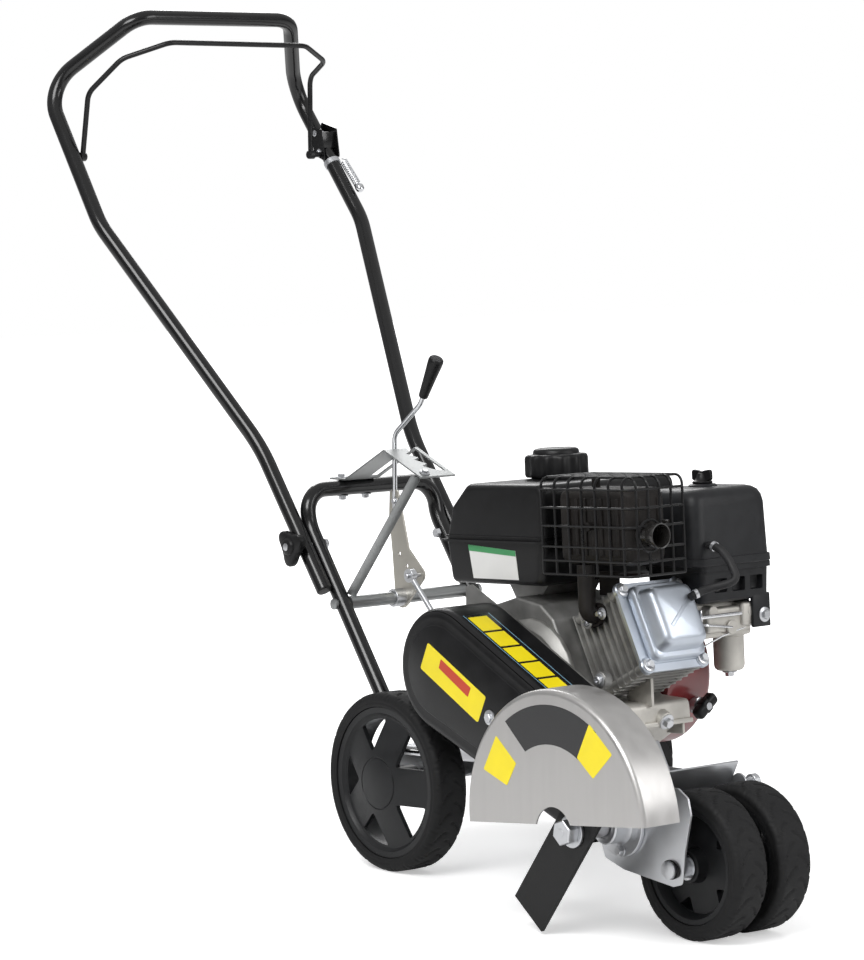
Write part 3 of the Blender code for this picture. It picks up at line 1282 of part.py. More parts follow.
make_wheels()
make_rear_axle()
make_front_carriage()
make_front_axle()
make_deck_frame()
make_pivot_bolt()
make_hoop()
make_cross_tube()
make_gate()
make_gate_brace()
make_depth_lever()
make_depth_rod()
make_spindle()
make_pulleys()
make_belt()
make_blade()
make_guard()
make_guard_bracket()
make_belt_cover()
make_back_plate()
make_engine()
make_handle()
make_knobs()
make_bail()
centre_on_origin()
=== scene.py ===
# Petrol lawn edger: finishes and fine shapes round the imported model
import json
import math

import bmesh
import bpy
from mathutils import Matrix, Vector


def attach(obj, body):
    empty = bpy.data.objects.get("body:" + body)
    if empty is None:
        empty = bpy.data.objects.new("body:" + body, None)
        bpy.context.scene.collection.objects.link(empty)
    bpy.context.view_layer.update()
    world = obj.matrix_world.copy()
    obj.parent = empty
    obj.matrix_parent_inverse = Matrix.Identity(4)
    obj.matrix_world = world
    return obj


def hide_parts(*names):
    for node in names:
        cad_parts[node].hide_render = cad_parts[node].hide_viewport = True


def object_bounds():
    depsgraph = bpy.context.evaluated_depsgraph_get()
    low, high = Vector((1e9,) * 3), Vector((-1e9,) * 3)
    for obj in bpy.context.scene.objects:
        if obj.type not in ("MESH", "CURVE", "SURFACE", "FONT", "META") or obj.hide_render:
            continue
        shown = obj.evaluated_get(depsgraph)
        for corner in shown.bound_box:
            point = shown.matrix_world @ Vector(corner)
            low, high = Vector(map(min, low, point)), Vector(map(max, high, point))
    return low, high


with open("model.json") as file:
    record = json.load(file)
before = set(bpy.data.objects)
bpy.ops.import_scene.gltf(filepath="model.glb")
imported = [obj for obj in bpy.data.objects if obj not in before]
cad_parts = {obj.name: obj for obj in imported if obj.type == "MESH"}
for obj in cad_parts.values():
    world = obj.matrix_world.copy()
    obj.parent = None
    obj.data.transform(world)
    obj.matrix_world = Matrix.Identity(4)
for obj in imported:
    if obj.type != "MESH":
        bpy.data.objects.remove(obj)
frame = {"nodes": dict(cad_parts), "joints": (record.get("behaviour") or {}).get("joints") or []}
cadLow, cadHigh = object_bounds()
print("frame loaded,", len(frame["nodes"]), "nodes")

toFront = (1.0, 0.0, 0.0)
toLeft = (0.0, 1.0, 0.0)
toRight = (0.0, -1.0, 0.0)
toSky = (0.0, 0.0, 1.0)
noseUp = math.radians(2.8)  # the chassis and engine stand nose up
boreLean = math.radians(25.0)  # the cylinder leans forward

# The machine's own frame has its zero under the rear axle, on the middle line
jointPlace = {joint["name"]: Vector(joint["pos_m"]) for joint in frame["joints"] if "pos_m" in joint}
wheelMiddle = (jointPlace["rear_wheel_right_spin"] + jointPlace["rear_wheel_left_spin"]) / 2.0
rearAxle = Vector((0.0, 0.0, 0.1175))
frontAxle = Vector((0.5815, 0.0, 0.0895))
spindle = Vector((0.498, 0.0, 0.1343))
crank = Vector((0.208, 0.0, 0.262))
machine = Matrix.Translation(wheelMiddle - rearAxle)
chassis = machine @ Matrix.Translation(crank) @ Matrix.Rotation(-noseUp, 4, "Y")
boreLine = chassis @ Matrix.Rotation(-boreLean, 4, "Y")

# Camera, where the photographer stood
photoView = {"place": (3.6353, -3.0282, 0.9051), "azimuth": 51.2931, "elevation": 4.8697, "roll": -0.8283,
             "lens": 133.69, "sensor": 36.0, "clipEnd": 60.0}
studio = {"floorHalf": 14.0, "floorDrop": 0.0004, "floorShade": 0.92, "floorLift": 0.42, "liftFrom": 0.55,
          "liftTo": 1.9, "world": 0.62, "horizon": (0.30, 0.30, 0.31), "zenith": (1.0, 1.0, 1.0)}
lamps = {"keyLamp": ((1.6, -3.0, 3.2), (0.0, 0.0, 0.4), (2.4, 1.8), 120.0),
         "fillLamp": ((3.6, 1.6, 1.9), (0.0, 0.0, 0.4), (1.8, 1.8), 40.0),
         "backLamp": ((-3.0, 2.0, 2.6), (0.0, 0.0, 0.5), (2.2, 1.6), 55.0)}


def linkNew(name, data):
    thing = bpy.data.objects.new(name, data)
    bpy.context.scene.collection.objects.link(thing)
    return thing


def placeCamera():
    azimuth, elevation, roll = (math.radians(photoView[part]) for part in ("azimuth", "elevation", "roll"))
    back = Vector((math.sin(azimuth) * math.cos(elevation), -math.cos(azimuth) * math.cos(elevation),
                   math.sin(elevation)))
    right = Vector((math.cos(azimuth), math.sin(azimuth), 0.0))
    up = back.cross(right)
    across = right * math.cos(roll) + up * math.sin(roll)
    above = up * math.cos(roll) - right * math.sin(roll)
    turn = Matrix((across, above, back)).transposed().to_4x4()
    camera = linkNew("camera", bpy.data.cameras.new("camera"))
    camera.matrix_world = Matrix.Translation(machine @ Vector(photoView["place"])) @ turn
    camera.data.sensor_width = photoView["sensor"]
    camera.data.sensor_fit = "AUTO"
    camera.data.lens = photoView["lens"]
    camera.data.clip_end = photoView["clipEnd"]
    bpy.context.scene.camera = camera


def feed(tree, node, inputs):
    # Sets a node's inputs: a socket is linked, anything else is a value.
    for name, value in inputs.items():
        if isinstance(value, bpy.types.NodeSocket):
            tree.links.new(value, node.inputs[name])
        else:
            node.inputs[name].default_value = value


def addNode(tree, kind, inputs=None, operation=None, output=0):
    node = tree.nodes.new("ShaderNode" + kind)
    if operation:
        node.operation = operation
    feed(tree, node, inputs or {})
    return node.outputs[output]


def addRamp(tree, source, *stops):
    ramp = addNode(tree, "ValToRGB", {"Fac": source}).node
    for element, (place, colour) in zip(ramp.color_ramp.elements, stops):
        element.position = place
        element.color = (*colour, 1.0)
    return ramp.outputs["Color"]


def paintWorld():
    # Brighter overhead than at the horizon, so metal shows its bends; plain white to the camera.
    world = bpy.data.worlds.new("studio")
    world.use_nodes = True
    bpy.context.scene.world = world
    tree = world.node_tree
    dome = tree.nodes["Background"]
    place = addNode(tree, "TexCoord", output="Generated")
    height = addNode(tree, "SeparateXYZ", {"Vector": place}, output="Z")
    shade = addRamp(tree, height, (0.0, studio["horizon"]), (0.75, studio["zenith"]))
    feed(tree, dome, {"Color": shade, "Strength": studio["world"]})
    bright = addNode(tree, "Background", {"Color": (1.0, 1.0, 1.0, 1.0)})
    seen = addNode(tree, "LightPath", output="Is Camera Ray")
    mix = addNode(tree, "MixShader", {"Fac": seen, 1: dome.outputs["Background"], 2: bright})
    feed(tree, tree.nodes["World Output"], {"Surface": mix})


def layFloor():
    # The floor glows towards the camera, more so further out, and still takes the shadow.
    work = bmesh.new()
    bmesh.ops.create_grid(work, x_segments=1, y_segments=1, size=studio["floorHalf"])
    mesh = bpy.data.meshes.new("floor")
    work.to_mesh(mesh)
    work.free()
    floor = linkNew("floor", mesh)
    floor.location.z = cadLow[2] - studio["floorDrop"]
    material = bpy.data.materials.new("floorPaint")
    material.use_nodes = True
    tree = material.node_tree
    shader = tree.nodes["Principled BSDF"]
    shade = studio["floorShade"]
    feed(tree, shader, {"Base Color": (shade, shade, shade, 1.0), "Roughness": 0.9,
                        "Specular IOR Level": 0.0})
    place = addNode(tree, "TexCoord", output="Object")
    reach = addNode(tree, "VectorMath", {0: place}, "LENGTH", "Value")
    fade = addNode(tree, "MapRange", {"From Min": studio["liftFrom"], "From Max": studio["liftTo"],
                                      "To Min": studio["floorLift"], "To Max": 1.0, "Value": reach})
    seen = addNode(tree, "LightPath", output="Is Camera Ray")
    lift = addNode(tree, "Math", {0: seen, 1: fade}, "MULTIPLY")
    glow = addNode(tree, "Emission", {"Strength": lift})
    both = addNode(tree, "AddShader", {0: shader.outputs["BSDF"], 1: glow})
    feed(tree, tree.nodes["Material Output"], {"Surface": both})
    mesh.materials.append(material)


def hangLamps():
    for name, (place, aim, size, power) in lamps.items():
        lamp = linkNew(name, bpy.data.lights.new(name, "AREA"))
        lamp.data.shape = "RECTANGLE"
        lamp.data.size, lamp.data.size_y = size
        lamp.data.energy = power
        lamp.location = place
        lamp.rotation_euler = (Vector(aim) - Vector(place)).to_track_quat("-Z", "Y").to_euler()


placeCamera()
bpy.context.scene.view_settings.view_transform = "Standard"
paintWorld()
hangLamps()
layFloor()
print("camera and lights are in place")

# Finishes: usual slot, colour, roughness, spread of tone, grain, bump, and what is out of the ordinary
finishes = {
    "glossBlack": ("black_paint", (0.004, 0.004, 0.0043), 0.20, 0.25, 260, 0.05,
                   {"shine": 0.35, "coat": 0.35}),
    "satinBlack": ("black_paint", (0.006, 0.006, 0.0065), 0.34, 0.22, 320, 0.10, {"shine": 0.28}),
    "sootBlack": ("black_paint", (0.012, 0.010, 0.009), 0.55, 0.45, 150, 0.25, {"shine": 0.30}),
    "wireBlack": ("black_paint", (0.006, 0.006, 0.0065), 0.30, 0.20, 300, 0.05, {"shine": 0.35}),
    "bladeBlack": ("black_paint", (0.008, 0.008, 0.0085), 0.42, 0.30, 180, 0.12, {"shine": 0.30}),
    "pipeBlack": ("black_paint", (0.018, 0.017, 0.016), 0.24, 0.25, 200, 0.08, {"coat": 0.4}),
    "zincPlate": ("zinc", (0.60, 0.61, 0.63), 0.34, 0.10, 90, 0.05, {"metal": 0.92}),
    "brushedSheet": ("zinc", (0.53, 0.52, 0.51), 0.38, 0.035, 60, 0.04,
                     {"metal": 0.90, "stretch": (9, 9, 1)}),
    "gateZinc": ("zinc", (0.34, 0.35, 0.35), 0.40, 0.12, 90, 0.05, {"metal": 0.95}),
    "leverZinc": ("zinc", (0.50, 0.48, 0.43), 0.40, 0.12, 90, 0.06, {"metal": 0.80}),
    "coverZinc": ("zinc", (0.50, 0.54, 0.60), 0.36, 0.14, 70, 0.06, {"metal": 0.85}),
    "chrome": ("zinc", (0.72, 0.73, 0.75), 0.16, 0.05, 80, 0.02, {"metal": 1.0}),
    "plainSteel": ("steel", (0.46, 0.46, 0.47), 0.32, 0.10, 120, 0.05, {"metal": 1.0}),
    "darkAlloy": ("cast_alloy", (0.25, 0.248, 0.24), 0.48, 0.18, 260, 0.25, {"metal": 0.75}),
    "castAlloy": ("cast_alloy", (0.34, 0.335, 0.32), 0.46, 0.16, 260, 0.30, {"metal": 0.75}),
    "caseAlloy": ("cast_alloy", (0.56, 0.54, 0.50), 0.46, 0.12, 260, 0.28, {"metal": 0.55}),
    "tyreRubber": ("rubber", (0.008, 0.008, 0.0085), 0.62, 0.25, 420, 0.20, {"shine": 0.28}),
    "beltRubber": ("belt_rubber", (0.010, 0.010, 0.011), 0.62, 0.20, 380, 0.15, {}),
    "hubPlastic": ("grey_plastic", (0.010, 0.0105, 0.0115), 0.40, 0.15, 500, 0.14, {"shine": 0.32}),
    "blackPlastic": ("black_plastic", (0.007, 0.007, 0.0075), 0.38, 0.15, 520, 0.12, {"shine": 0.28}),
    "cleanerPlastic": ("black_plastic", (0.012, 0.0125, 0.014), 0.42, 0.15, 520, 0.14, {"shine": 0.30}),
    "tankPlastic": ("black_plastic", (0.006, 0.006, 0.0065), 0.33, 0.15, 520, 0.12, {"shine": 0.28}),
    "darkRed": ("red_paint", (0.17, 0.016, 0.018), 0.32, 0.12, 260, 0.05, {"coat": 0.4}),
    "panelYellow": ("black_paint", (0.86, 0.70, 0.01), 0.35, 0.04, 200, 0.02, {}),
    "panelOrange": ("black_paint", (0.52, 0.045, 0.015), 0.35, 0.04, 200, 0.02, {}),
    "panelBlack": ("black_paint", (0.012, 0.012, 0.013), 0.20, 0.04, 200, 0.02, {}),
    "panelBlue": ("black_paint", (0.22, 0.42, 0.55), 0.35, 0.04, 200, 0.02, {}),
    "panelWhite": ("black_plastic", (0.74, 0.74, 0.72), 0.38, 0.03, 200, 0.02, {}),
    "panelGreen": ("black_plastic", (0.05, 0.28, 0.10), 0.38, 0.04, 200, 0.02, {}),
}


def makeFinish(name, colour, rough, spread, grain, bump, metal=0.0, shine=0.5, coat=0.0, stretch=(1, 1, 1)):
    material = bpy.data.materials.new(name)
    material.use_nodes = True
    tree = material.node_tree
    shader = tree.nodes["Principled BSDF"]
    feed(tree, shader, {"Base Color": (*colour, 1.0), "Metallic": metal, "Roughness": rough,
                        "Specular IOR Level": shine, "Coat Weight": coat, "Coat Roughness": 0.12})
    place = addNode(tree, "TexCoord", output="Object")
    spot = addNode(tree, "Mapping", {"Scale": stretch, "Vector": place})
    # The broad noise is a slow change of tone over a hand's breadth, the fine one the grain a finger feels.
    broad = addNode(tree, "TexNoise", {"Scale": grain * 0.12, "Detail": 5.0, "Vector": spot}, output="Fac")
    fine = addNode(tree, "TexNoise", {"Scale": grain * 4.0, "Detail": 3.0, "Vector": spot}, output="Fac")
    tone = addRamp(tree, broad, (0.34, [channel * (1.0 - spread) for channel in colour]),
                   (0.66, [min(1.0, channel * (1.0 + spread)) for channel in colour]))
    sheen = addNode(tree, "MapRange", {"From Min": 0.3, "From Max": 0.7, "To Min": rough * 0.86,
                                       "To Max": rough * 1.16, "Value": broad})
    relief = addNode(tree, "Bump", {"Strength": bump, "Distance": 0.0006, "Height": fine})
    feed(tree, shader, {"Base Color": tone, "Roughness": sheen, "Normal": relief})
    return material


materials = {name: makeFinish(name, *look[1:6], **look[6]) for name, look in finishes.items()}
print("finishes are mixed")

softAngle = math.radians(38.0)  # edges sharper than this are softened
shadeAngle = 35.0  # edges sharper than this stay sharp in the shading


def addSoftening(piece, width):
    edge = piece.modifiers.new("soften", "BEVEL")
    edge.width = width
    edge.segments = 2
    edge.limit_method = "ANGLE"
    edge.angle_limit = softAngle
    return edge


def newPiece(name, work, finish, nodes=(), body="chassis", slot=None, base=machine, bend=shadeAngle,
             soften=None):
    # Turns mesh work in the given frame into a piece that rides on a body.
    bmesh.ops.recalc_face_normals(work, faces=work.faces)
    mesh = bpy.data.meshes.new(name)
    work.to_mesh(mesh)
    work.free()
    mesh.transform(base)
    mesh.shade_smooth()
    mesh.set_sharp_from_angle(angle=math.radians(bend))
    piece = linkNew(name, mesh)
    mesh.materials.append(materials[finish])
    if soften:
        addSoftening(piece, soften).harden_normals = True
    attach(piece, body)
    if nodes:
        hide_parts(*nodes)
    return piece


def addMesh(work, other):
    # Adds the faces of one mesh work to another.
    mesh = bpy.data.meshes.new("spare")
    other.to_mesh(mesh)
    other.free()
    work.from_mesh(mesh)
    bpy.data.meshes.remove(mesh)


def cutBy(work, tools, merge=True):
    # Cuts solids out of a mesh work.
    things = []
    for shape in [work] + list(tools):
        mesh = bpy.data.meshes.new("cut")
        bmesh.ops.recalc_face_normals(shape, faces=shape.faces)
        shape.to_mesh(mesh)
        things.append(linkNew("cut", mesh))
    for shape, tool in zip(tools, things[1:]):
        shape.free()
        step = things[0].modifiers.new("cut", "BOOLEAN")
        step.operation = "DIFFERENCE"
        step.solver = "EXACT"
        step.object = tool
    bpy.context.view_layer.update()
    finished = things[0].evaluated_get(bpy.context.evaluated_depsgraph_get())
    work.clear()
    work.from_mesh(finished.to_mesh())
    finished.to_mesh_clear()
    for thing in things:
        bpy.data.objects.remove(thing, do_unlink=True)
    if merge:
        bmesh.ops.remove_doubles(work, verts=work.verts, dist=0.00002)
        bmesh.ops.dissolve_limit(work, angle_limit=math.radians(0.5), verts=work.verts, edges=work.edges)


def roundedBox(work, low, high, radius=0.0, segments=4, turn=None):
    low = Vector(low)
    high = Vector(high)
    shape = bmesh.new()
    bmesh.ops.create_cube(shape, size=1.0)
    bmesh.ops.scale(shape, vec=high - low, verts=shape.verts)
    if radius:
        bmesh.ops.bevel(shape, geom=shape.edges[:], offset=radius, segments=segments, affect="EDGES",
                        profile=0.5)
    if turn:
        bmesh.ops.transform(shape, matrix=turn, verts=shape.verts)
    bmesh.ops.translate(shape, vec=(high + low) / 2.0, verts=shape.verts)
    addMesh(work, shape)


def addBoxes(work, *rows):
    for row in rows:
        roundedBox(work, *row)


def loftRows(work, rows, caps=True):
    # Faces between closed rows of vertices, and over the first and the last row.
    for low, high in zip(rows, rows[1:]):
        for step in range(len(low)):
            after = (step + 1) % len(low)
            work.faces.new((low[step], low[after], high[after], high[step]))
    if caps:
        work.faces.new(rows[0][::-1])
        work.faces.new(rows[-1])


def newRow(work, points):
    return [work.verts.new(point) for point in points]


def sweepTube(work, route, radius, sides=16, closed=False):
    # A round bar along a route.
    points = [Vector(point) for point in route]
    count = len(points)
    rings = []
    side = None
    for index, point in enumerate(points):
        if closed:
            heading = (points[(index + 1) % count] - points[index - 1]).normalized()
        else:
            heading = (points[min(index + 1, count - 1)] - points[max(index - 1, 0)]).normalized()
        if side is None:
            side = heading.cross(Vector((0.3, 0.2, 0.93)))
            if side.length < 0.1:
                side = heading.cross(Vector(toLeft))
        side = (side - heading * side.dot(heading)).normalized()
        across = heading.cross(side)
        turns = [math.tau * step / sides for step in range(sides)]
        rings.append(newRow(work, [point + (side * math.cos(turn) + across * math.sin(turn)) * radius
                                   for turn in turns]))
    loftRows(work, rings + rings[:1] if closed else rings, caps=not closed)


def turnProfile(work, profile, place, axis=toLeft, steps=64, ring=False, start=toFront):
    # Spins (radius, height) points about an axis; heights run along it.
    axis = Vector(axis).normalized()
    place = Vector(place)
    first = Vector(start)
    if first.cross(axis).length < 0.2:
        first = Vector(toSky)
    first = (first - axis * first.dot(axis)).normalized()
    shape = bmesh.new()
    line = newRow(shape, [place + axis * height + first * radius for radius, height in profile])
    edges = [shape.edges.new(pair) for pair in zip(line, line[1:])]
    if ring:
        edges.append(shape.edges.new((line[-1], line[0])))
    bmesh.ops.spin(shape, geom=line + edges, cent=place, axis=axis, dvec=(0.0, 0.0, 0.0), angle=math.tau,
                   steps=steps, use_merge=True)
    bmesh.ops.remove_doubles(shape, verts=shape.verts[:], dist=0.000001)
    bmesh.ops.recalc_face_normals(shape, faces=shape.faces[:])
    addMesh(work, shape)


def sheetLoops(work, loops, low, high, plane="xz"):
    # A flat sheet with holes: loops of (across, up) points, thick between two values of the third axis.
    order = {"xz": lambda a, b, c: (a, c, b), "yz": lambda a, b, c: (c, a, b),
             "xy": lambda a, b, c: (a, b, c)}
    put = order[plane]
    shape = bmesh.new()
    for loop in loops:
        verts = newRow(shape, [put(point[0], point[1], low) for point in loop])
        for pair in zip(verts, verts[1:] + verts[:1]):
            shape.edges.new(pair)
    bmesh.ops.triangle_fill(shape, use_beauty=True, use_dissolve=True, edges=shape.edges[:])
    bmesh.ops.dissolve_limit(shape, angle_limit=0.01, verts=shape.verts[:], edges=shape.edges[:])
    grown = bmesh.ops.extrude_face_region(shape, geom=shape.faces[:])
    moved = [item for item in grown["geom"] if isinstance(item, bmesh.types.BMVert)]
    bmesh.ops.translate(shape, vec=put(0.0, 0.0, high - low), verts=moved)
    addMesh(work, shape)


def roundedOutline(corners, radii, steps=6):
    # A closed outline whose corners are rounded.
    outline = []
    count = len(corners)
    for index, corner in enumerate(corners):
        radius = radii[index] if isinstance(radii, (list, tuple)) else radii
        here = Vector(corner)
        back = Vector(corners[index - 1]) - here
        ahead = Vector(corners[(index + 1) % count]) - here
        reach = min(back.length, ahead.length) * 0.49
        back.normalize()
        ahead.normalize()
        half = back.angle(ahead) / 2.0
        if radius <= 0.0 or half > math.radians(88.0):
            outline.append(tuple(here))
            continue
        tangent = min(radius / math.tan(half), reach)
        for step in range(steps + 1):
            share = step / steps
            outline.append(tuple(here + back * tangent * (1.0 - share) ** 2 + ahead * tangent * share ** 2))
    return outline


def softOutline(low, high, corner, steps=7):
    # A rectangle with rounded corners.
    corners = [(low[0], low[1]), (high[0], low[1]), (high[0], high[1]), (low[0], high[1])]
    return roundedOutline(corners, corner, steps)


def arcPoints(centre, radius, start, end, steps):
    turns = [math.radians(start + (end - start) * step / steps) for step in range(steps + 1)]
    return [(centre[0] + radius * math.cos(turn), centre[1] + radius * math.sin(turn)) for turn in turns]


def ringPoints(centre, radius, steps=40):
    return arcPoints(centre, radius, 0.0, 360.0 * (steps - 1) / steps, steps - 1)


def roundedRoute(points, radii, steps=12):
    # A route through the points, its corners rounded to true arcs.
    points = [Vector(point) for point in points]
    route = [points[0]]
    for before, corner, after, radius in zip(points, points[1:], points[2:], radii):
        back = (before - corner).normalized()
        ahead = (after - corner).normalized()
        half = back.angle(ahead) / 2.0
        tangent = radius / math.tan(half)
        centre = corner + (back + ahead).normalized() * (radius / math.sin(half))
        start = corner + back * tangent - centre
        end = corner + ahead * tangent - centre
        sweep = start.angle(end)
        for step in range(steps + 1):
            share = step / steps
            blend = start * math.sin((1.0 - share) * sweep) + end * math.sin(share * sweep)
            route.append(centre + blend / math.sin(sweep))
    route.append(points[-1])
    return route


def flowingRoute(points, steps=8):
    # A smooth curve through the points.
    points = [Vector(point) for point in points]
    ends = [2.0 * points[0] - points[1]] + points + [2.0 * points[-1] - points[-2]]
    route = []
    for before, start, end, after in zip(ends, ends[1:], ends[2:], ends[3:]):
        for share in (step / steps for step in range(steps)):
            route.append(0.5 * (2.0 * start + (end - before) * share
                                + (2.0 * before - 5.0 * start + 4.0 * end - after) * share ** 2
                                + (3.0 * start - before - 3.0 * end + after) * share ** 3))
    route.append(points[-1])
    return route


def bothSides(points):
    # The points of the left side, followed back down the right side.
    return points + [Vector((point[0], -point[1], point[2])) for point in points[::-1]]


def addBolt(work, place, axis, size=0.0055, height=0.004, socket=False):
    # A hexagon head, or a round one with a socket, on a flat washer, standing out along the axis.
    base = size * 0.28
    turnProfile(work, [(0.0, 0.0), (size * 1.55, 0.0), (size * 1.55, size * 0.2), (size * 1.4, base),
                       (0.0, base)], place, axis, 24)
    profile = [(0.0, base), (size, base), (size, base + height * 0.8), (size * 0.86, base + height)]
    if socket:
        floor = base + height * 0.35
        profile += [(size * 0.5, base + height), (size * 0.5, floor), (0.0, floor)]
    else:
        profile.append((0.0, base + height))
    turnProfile(work, profile, place, axis, 20 if socket else 6)


def newBolts(name, spots, **rest):
    # Bolts as one piece: place, axis, size and height of each.
    work = bmesh.new()
    for spot in spots:
        addBolt(work, *spot)
    newPiece(name, work, "zincPlate", **rest)


def makeShadingGroup():
    # Smooth shading that leaves sharp edges sharp, as a modifier.
    group = bpy.data.node_groups.new("shading", "GeometryNodeTree")
    for way in ("INPUT", "OUTPUT"):
        group.interface.new_socket("Geometry", in_out=way, socket_type="NodeSocketGeometry")
    entry, leave, faces, edges, angle, test = [group.nodes.new(kind) for kind in (
        "NodeGroupInput", "NodeGroupOutput", "GeometryNodeSetShadeSmooth", "GeometryNodeSetShadeSmooth",
        "GeometryNodeInputMeshEdgeAngle", "ShaderNodeMath")]
    faces.domain = "FACE"
    edges.domain = "EDGE"
    edges.inputs["Shade Smooth"].default_value = False
    test.operation = "GREATER_THAN"
    test.inputs[1].default_value = math.radians(shadeAngle)
    feed(group, test, {0: angle.outputs["Unsigned Angle"]})
    feed(group, faces, {"Geometry": entry.outputs[0]})
    feed(group, edges, {"Selection": test.outputs["Value"], "Geometry": faces.outputs["Geometry"]})
    feed(group, leave, {0: edges.outputs["Geometry"]})
    return group


shadingGroup = makeShadingGroup()


def smoothCad(name, finish, soften=None):
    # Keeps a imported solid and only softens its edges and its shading.
    piece = bpy.data.objects[name]
    for holder in piece.material_slots:
        holder.material = materials[finish]
    piece.modifiers.new("weld", "WELD").merge_threshold = 0.00002
    if soften:
        addSoftening(piece, soften)
    piece.modifiers.new("shade", "NODES").node_group = shadingGroup

# Wheels: the hub's inner face, the spokes' web and the rim are measured from the inner side
rearWheel = {"inner": 0.1546, "width": 0.0518, "radius": 0.1175, "rim": 0.0990, "shoulder": 0.010,
             "repeats": 26, "rimInside": 0.0905, "cap": 0.0591, "capRadius": 0.033, "spoke": 0.049,
             "spokeLow": 0.043, "web": 0.006}
frontWheel = {"width": 0.0506, "radius": 0.0895, "rim": 0.0698, "shoulder": 0.009, "repeats": 20,
              "rimInside": 0.0628, "spoke": 0.047}
tread = {"plain": 0.10, "groove": 0.09, "slope": 0.04, "depth": 0.0016, "bands": 12, "columns": 22}


def treadDepth(angle, across, repeats):
    # Hooked grooves run from each shoulder towards a plain band in the middle.
    reach = abs(across)
    if reach < tread["plain"]:
        return 0.0
    hook = 1.5 * (reach - tread["plain"]) ** 1.8 + (0.5 if across < 0.0 else 0.0)
    phase = (angle * repeats / math.tau + hook) % 1.0
    edge = min(phase, 1.0 - phase)
    return max(0.0, min(1.0, (tread["groove"] - edge) / tread["slope"]))


def tyreWork(place, outward, inner, wheel):
    # A tyre: bead at the rim, bulged walls, and a grooved tread.
    width, radius, shoulder = wheel["width"], wheel["radius"], wheel["shoulder"]
    bead = wheel["rim"] + 0.004
    wall = radius - shoulder
    profile = [(wheel["rim"] + 0.0004, 0.0015, 0.0), (bead, 0.0, 0.0)]
    for share in (0.35, 0.7, 1.0):
        profile.append((bead + (wall - bead) * share, 0.0006 * math.sin(math.pi * share), 0.0))
    for turn, depth in ((25.0, 0.4), (50.0, 1.0), (75.0, 1.0)):
        sweep = math.radians(turn)
        profile.append((wall + shoulder * math.sin(sweep), shoulder * (1.0 - math.cos(sweep)), depth))
    for step in range(tread["bands"] + 1):
        share = step / tread["bands"]
        profile.append((radius - 0.0003 + 0.0003 * math.sin(math.pi * share),
                        shoulder + (width - 2.0 * shoulder) * share, 1.0))
    profile += [(radial, width - height, depth) for radial, height, depth in profile[:8][::-1]]
    work = bmesh.new()
    steps = wheel["repeats"] * tread["columns"]
    rows = []
    for radial, height, depth in profile:
        middle = place + Vector(toLeft) * outward * (inner + height)
        across = (height / width) * 2.0 - 1.0
        points = []
        for angle in (math.tau * step / steps for step in range(steps)):
            cut = treadDepth(angle, across, wheel["repeats"]) * depth * tread["depth"]
            points.append(middle + Vector((math.cos(angle), 0.0, math.sin(angle))) * (radial - cut))
        rows.append(newRow(work, points))
    loftRows(work, rows + rows[:1], caps=False)
    return work


def windowTools(place, outer, width, low, high, count=5):
    # Cutters for the windows between the spokes.
    half = math.pi / count
    wide = math.degrees(half - math.asin(width / 2.0 / outer))
    apex = width / 2.0 / math.sin(half)
    tools = []
    for turn in (math.tau * (number + 0.5) / count for number in range(count)):
        middle = math.degrees(turn)
        corners = arcPoints((0.0, 0.0), outer, middle - wide, middle + wide, 10)
        corners.append((apex * math.cos(turn), apex * math.sin(turn)))
        outline = roundedOutline(corners, [0.003] + [0.0] * 9 + [0.003, 0.004], 4)
        tool = bmesh.new()
        sheetLoops(tool, [[(place.x + across, place.z + up) for across, up in outline]], min(low, high),
                   max(low, high))
        tools.append(tool)
    return tools


def makeRearWheel(side, outward):
    wheel = rearWheel
    inner, cap, disc, low = wheel["inner"], wheel["cap"], wheel["capRadius"], wheel["spokeLow"]
    rim, rimInside = wheel["rim"], wheel["rimInside"]
    lip = wheel["width"] - 0.004
    spokeEnd = rimInside - 0.004
    body = "rear_wheel_" + side
    newPiece("rearTyre_" + side, tyreWork(rearAxle, outward, inner, wheel), "tyreRubber",
             ["rear_tyre_" + side], body, bend=50.0)
    profile = [(0.0, cap), (disc - 0.0018, cap), (disc - 0.0006, cap - 0.0005), (disc, cap - 0.0016),
               (disc + 0.0012, cap - 0.0016), (disc + 0.0018, cap - 0.0008), (disc + 0.0035, cap - 0.001),
               (spokeEnd - 0.003, low + 0.0006), (spokeEnd, low + 0.0006), (rimInside - 0.001, lip - 0.002),
               (rimInside + 0.0005, lip), (rim - 0.0005, lip + 0.0008), (rim, lip), (rim, 0.004),
               (rimInside, 0.004), (spokeEnd, low - wheel["web"]), (disc, cap - 0.0065),
               (0.018, cap - 0.0065), (0.018, 0.0), (0.0088, 0.0), (0.0088, cap - 0.006), (0.0, cap - 0.006)]
    hub = bmesh.new()
    turnProfile(hub, profile, rearAxle + Vector((0.0, outward * inner, 0.0)), (0.0, outward, 0.0), 120)
    cutBy(hub, windowTools(rearAxle, rimInside - 0.007, wheel["spoke"], outward * (inner + low - 0.018),
                           outward * (inner + cap + 0.006)))
    newPiece("rearHub_" + side, hub, "hubPlastic", ["rear_hub_" + side], body, bend=25.0)


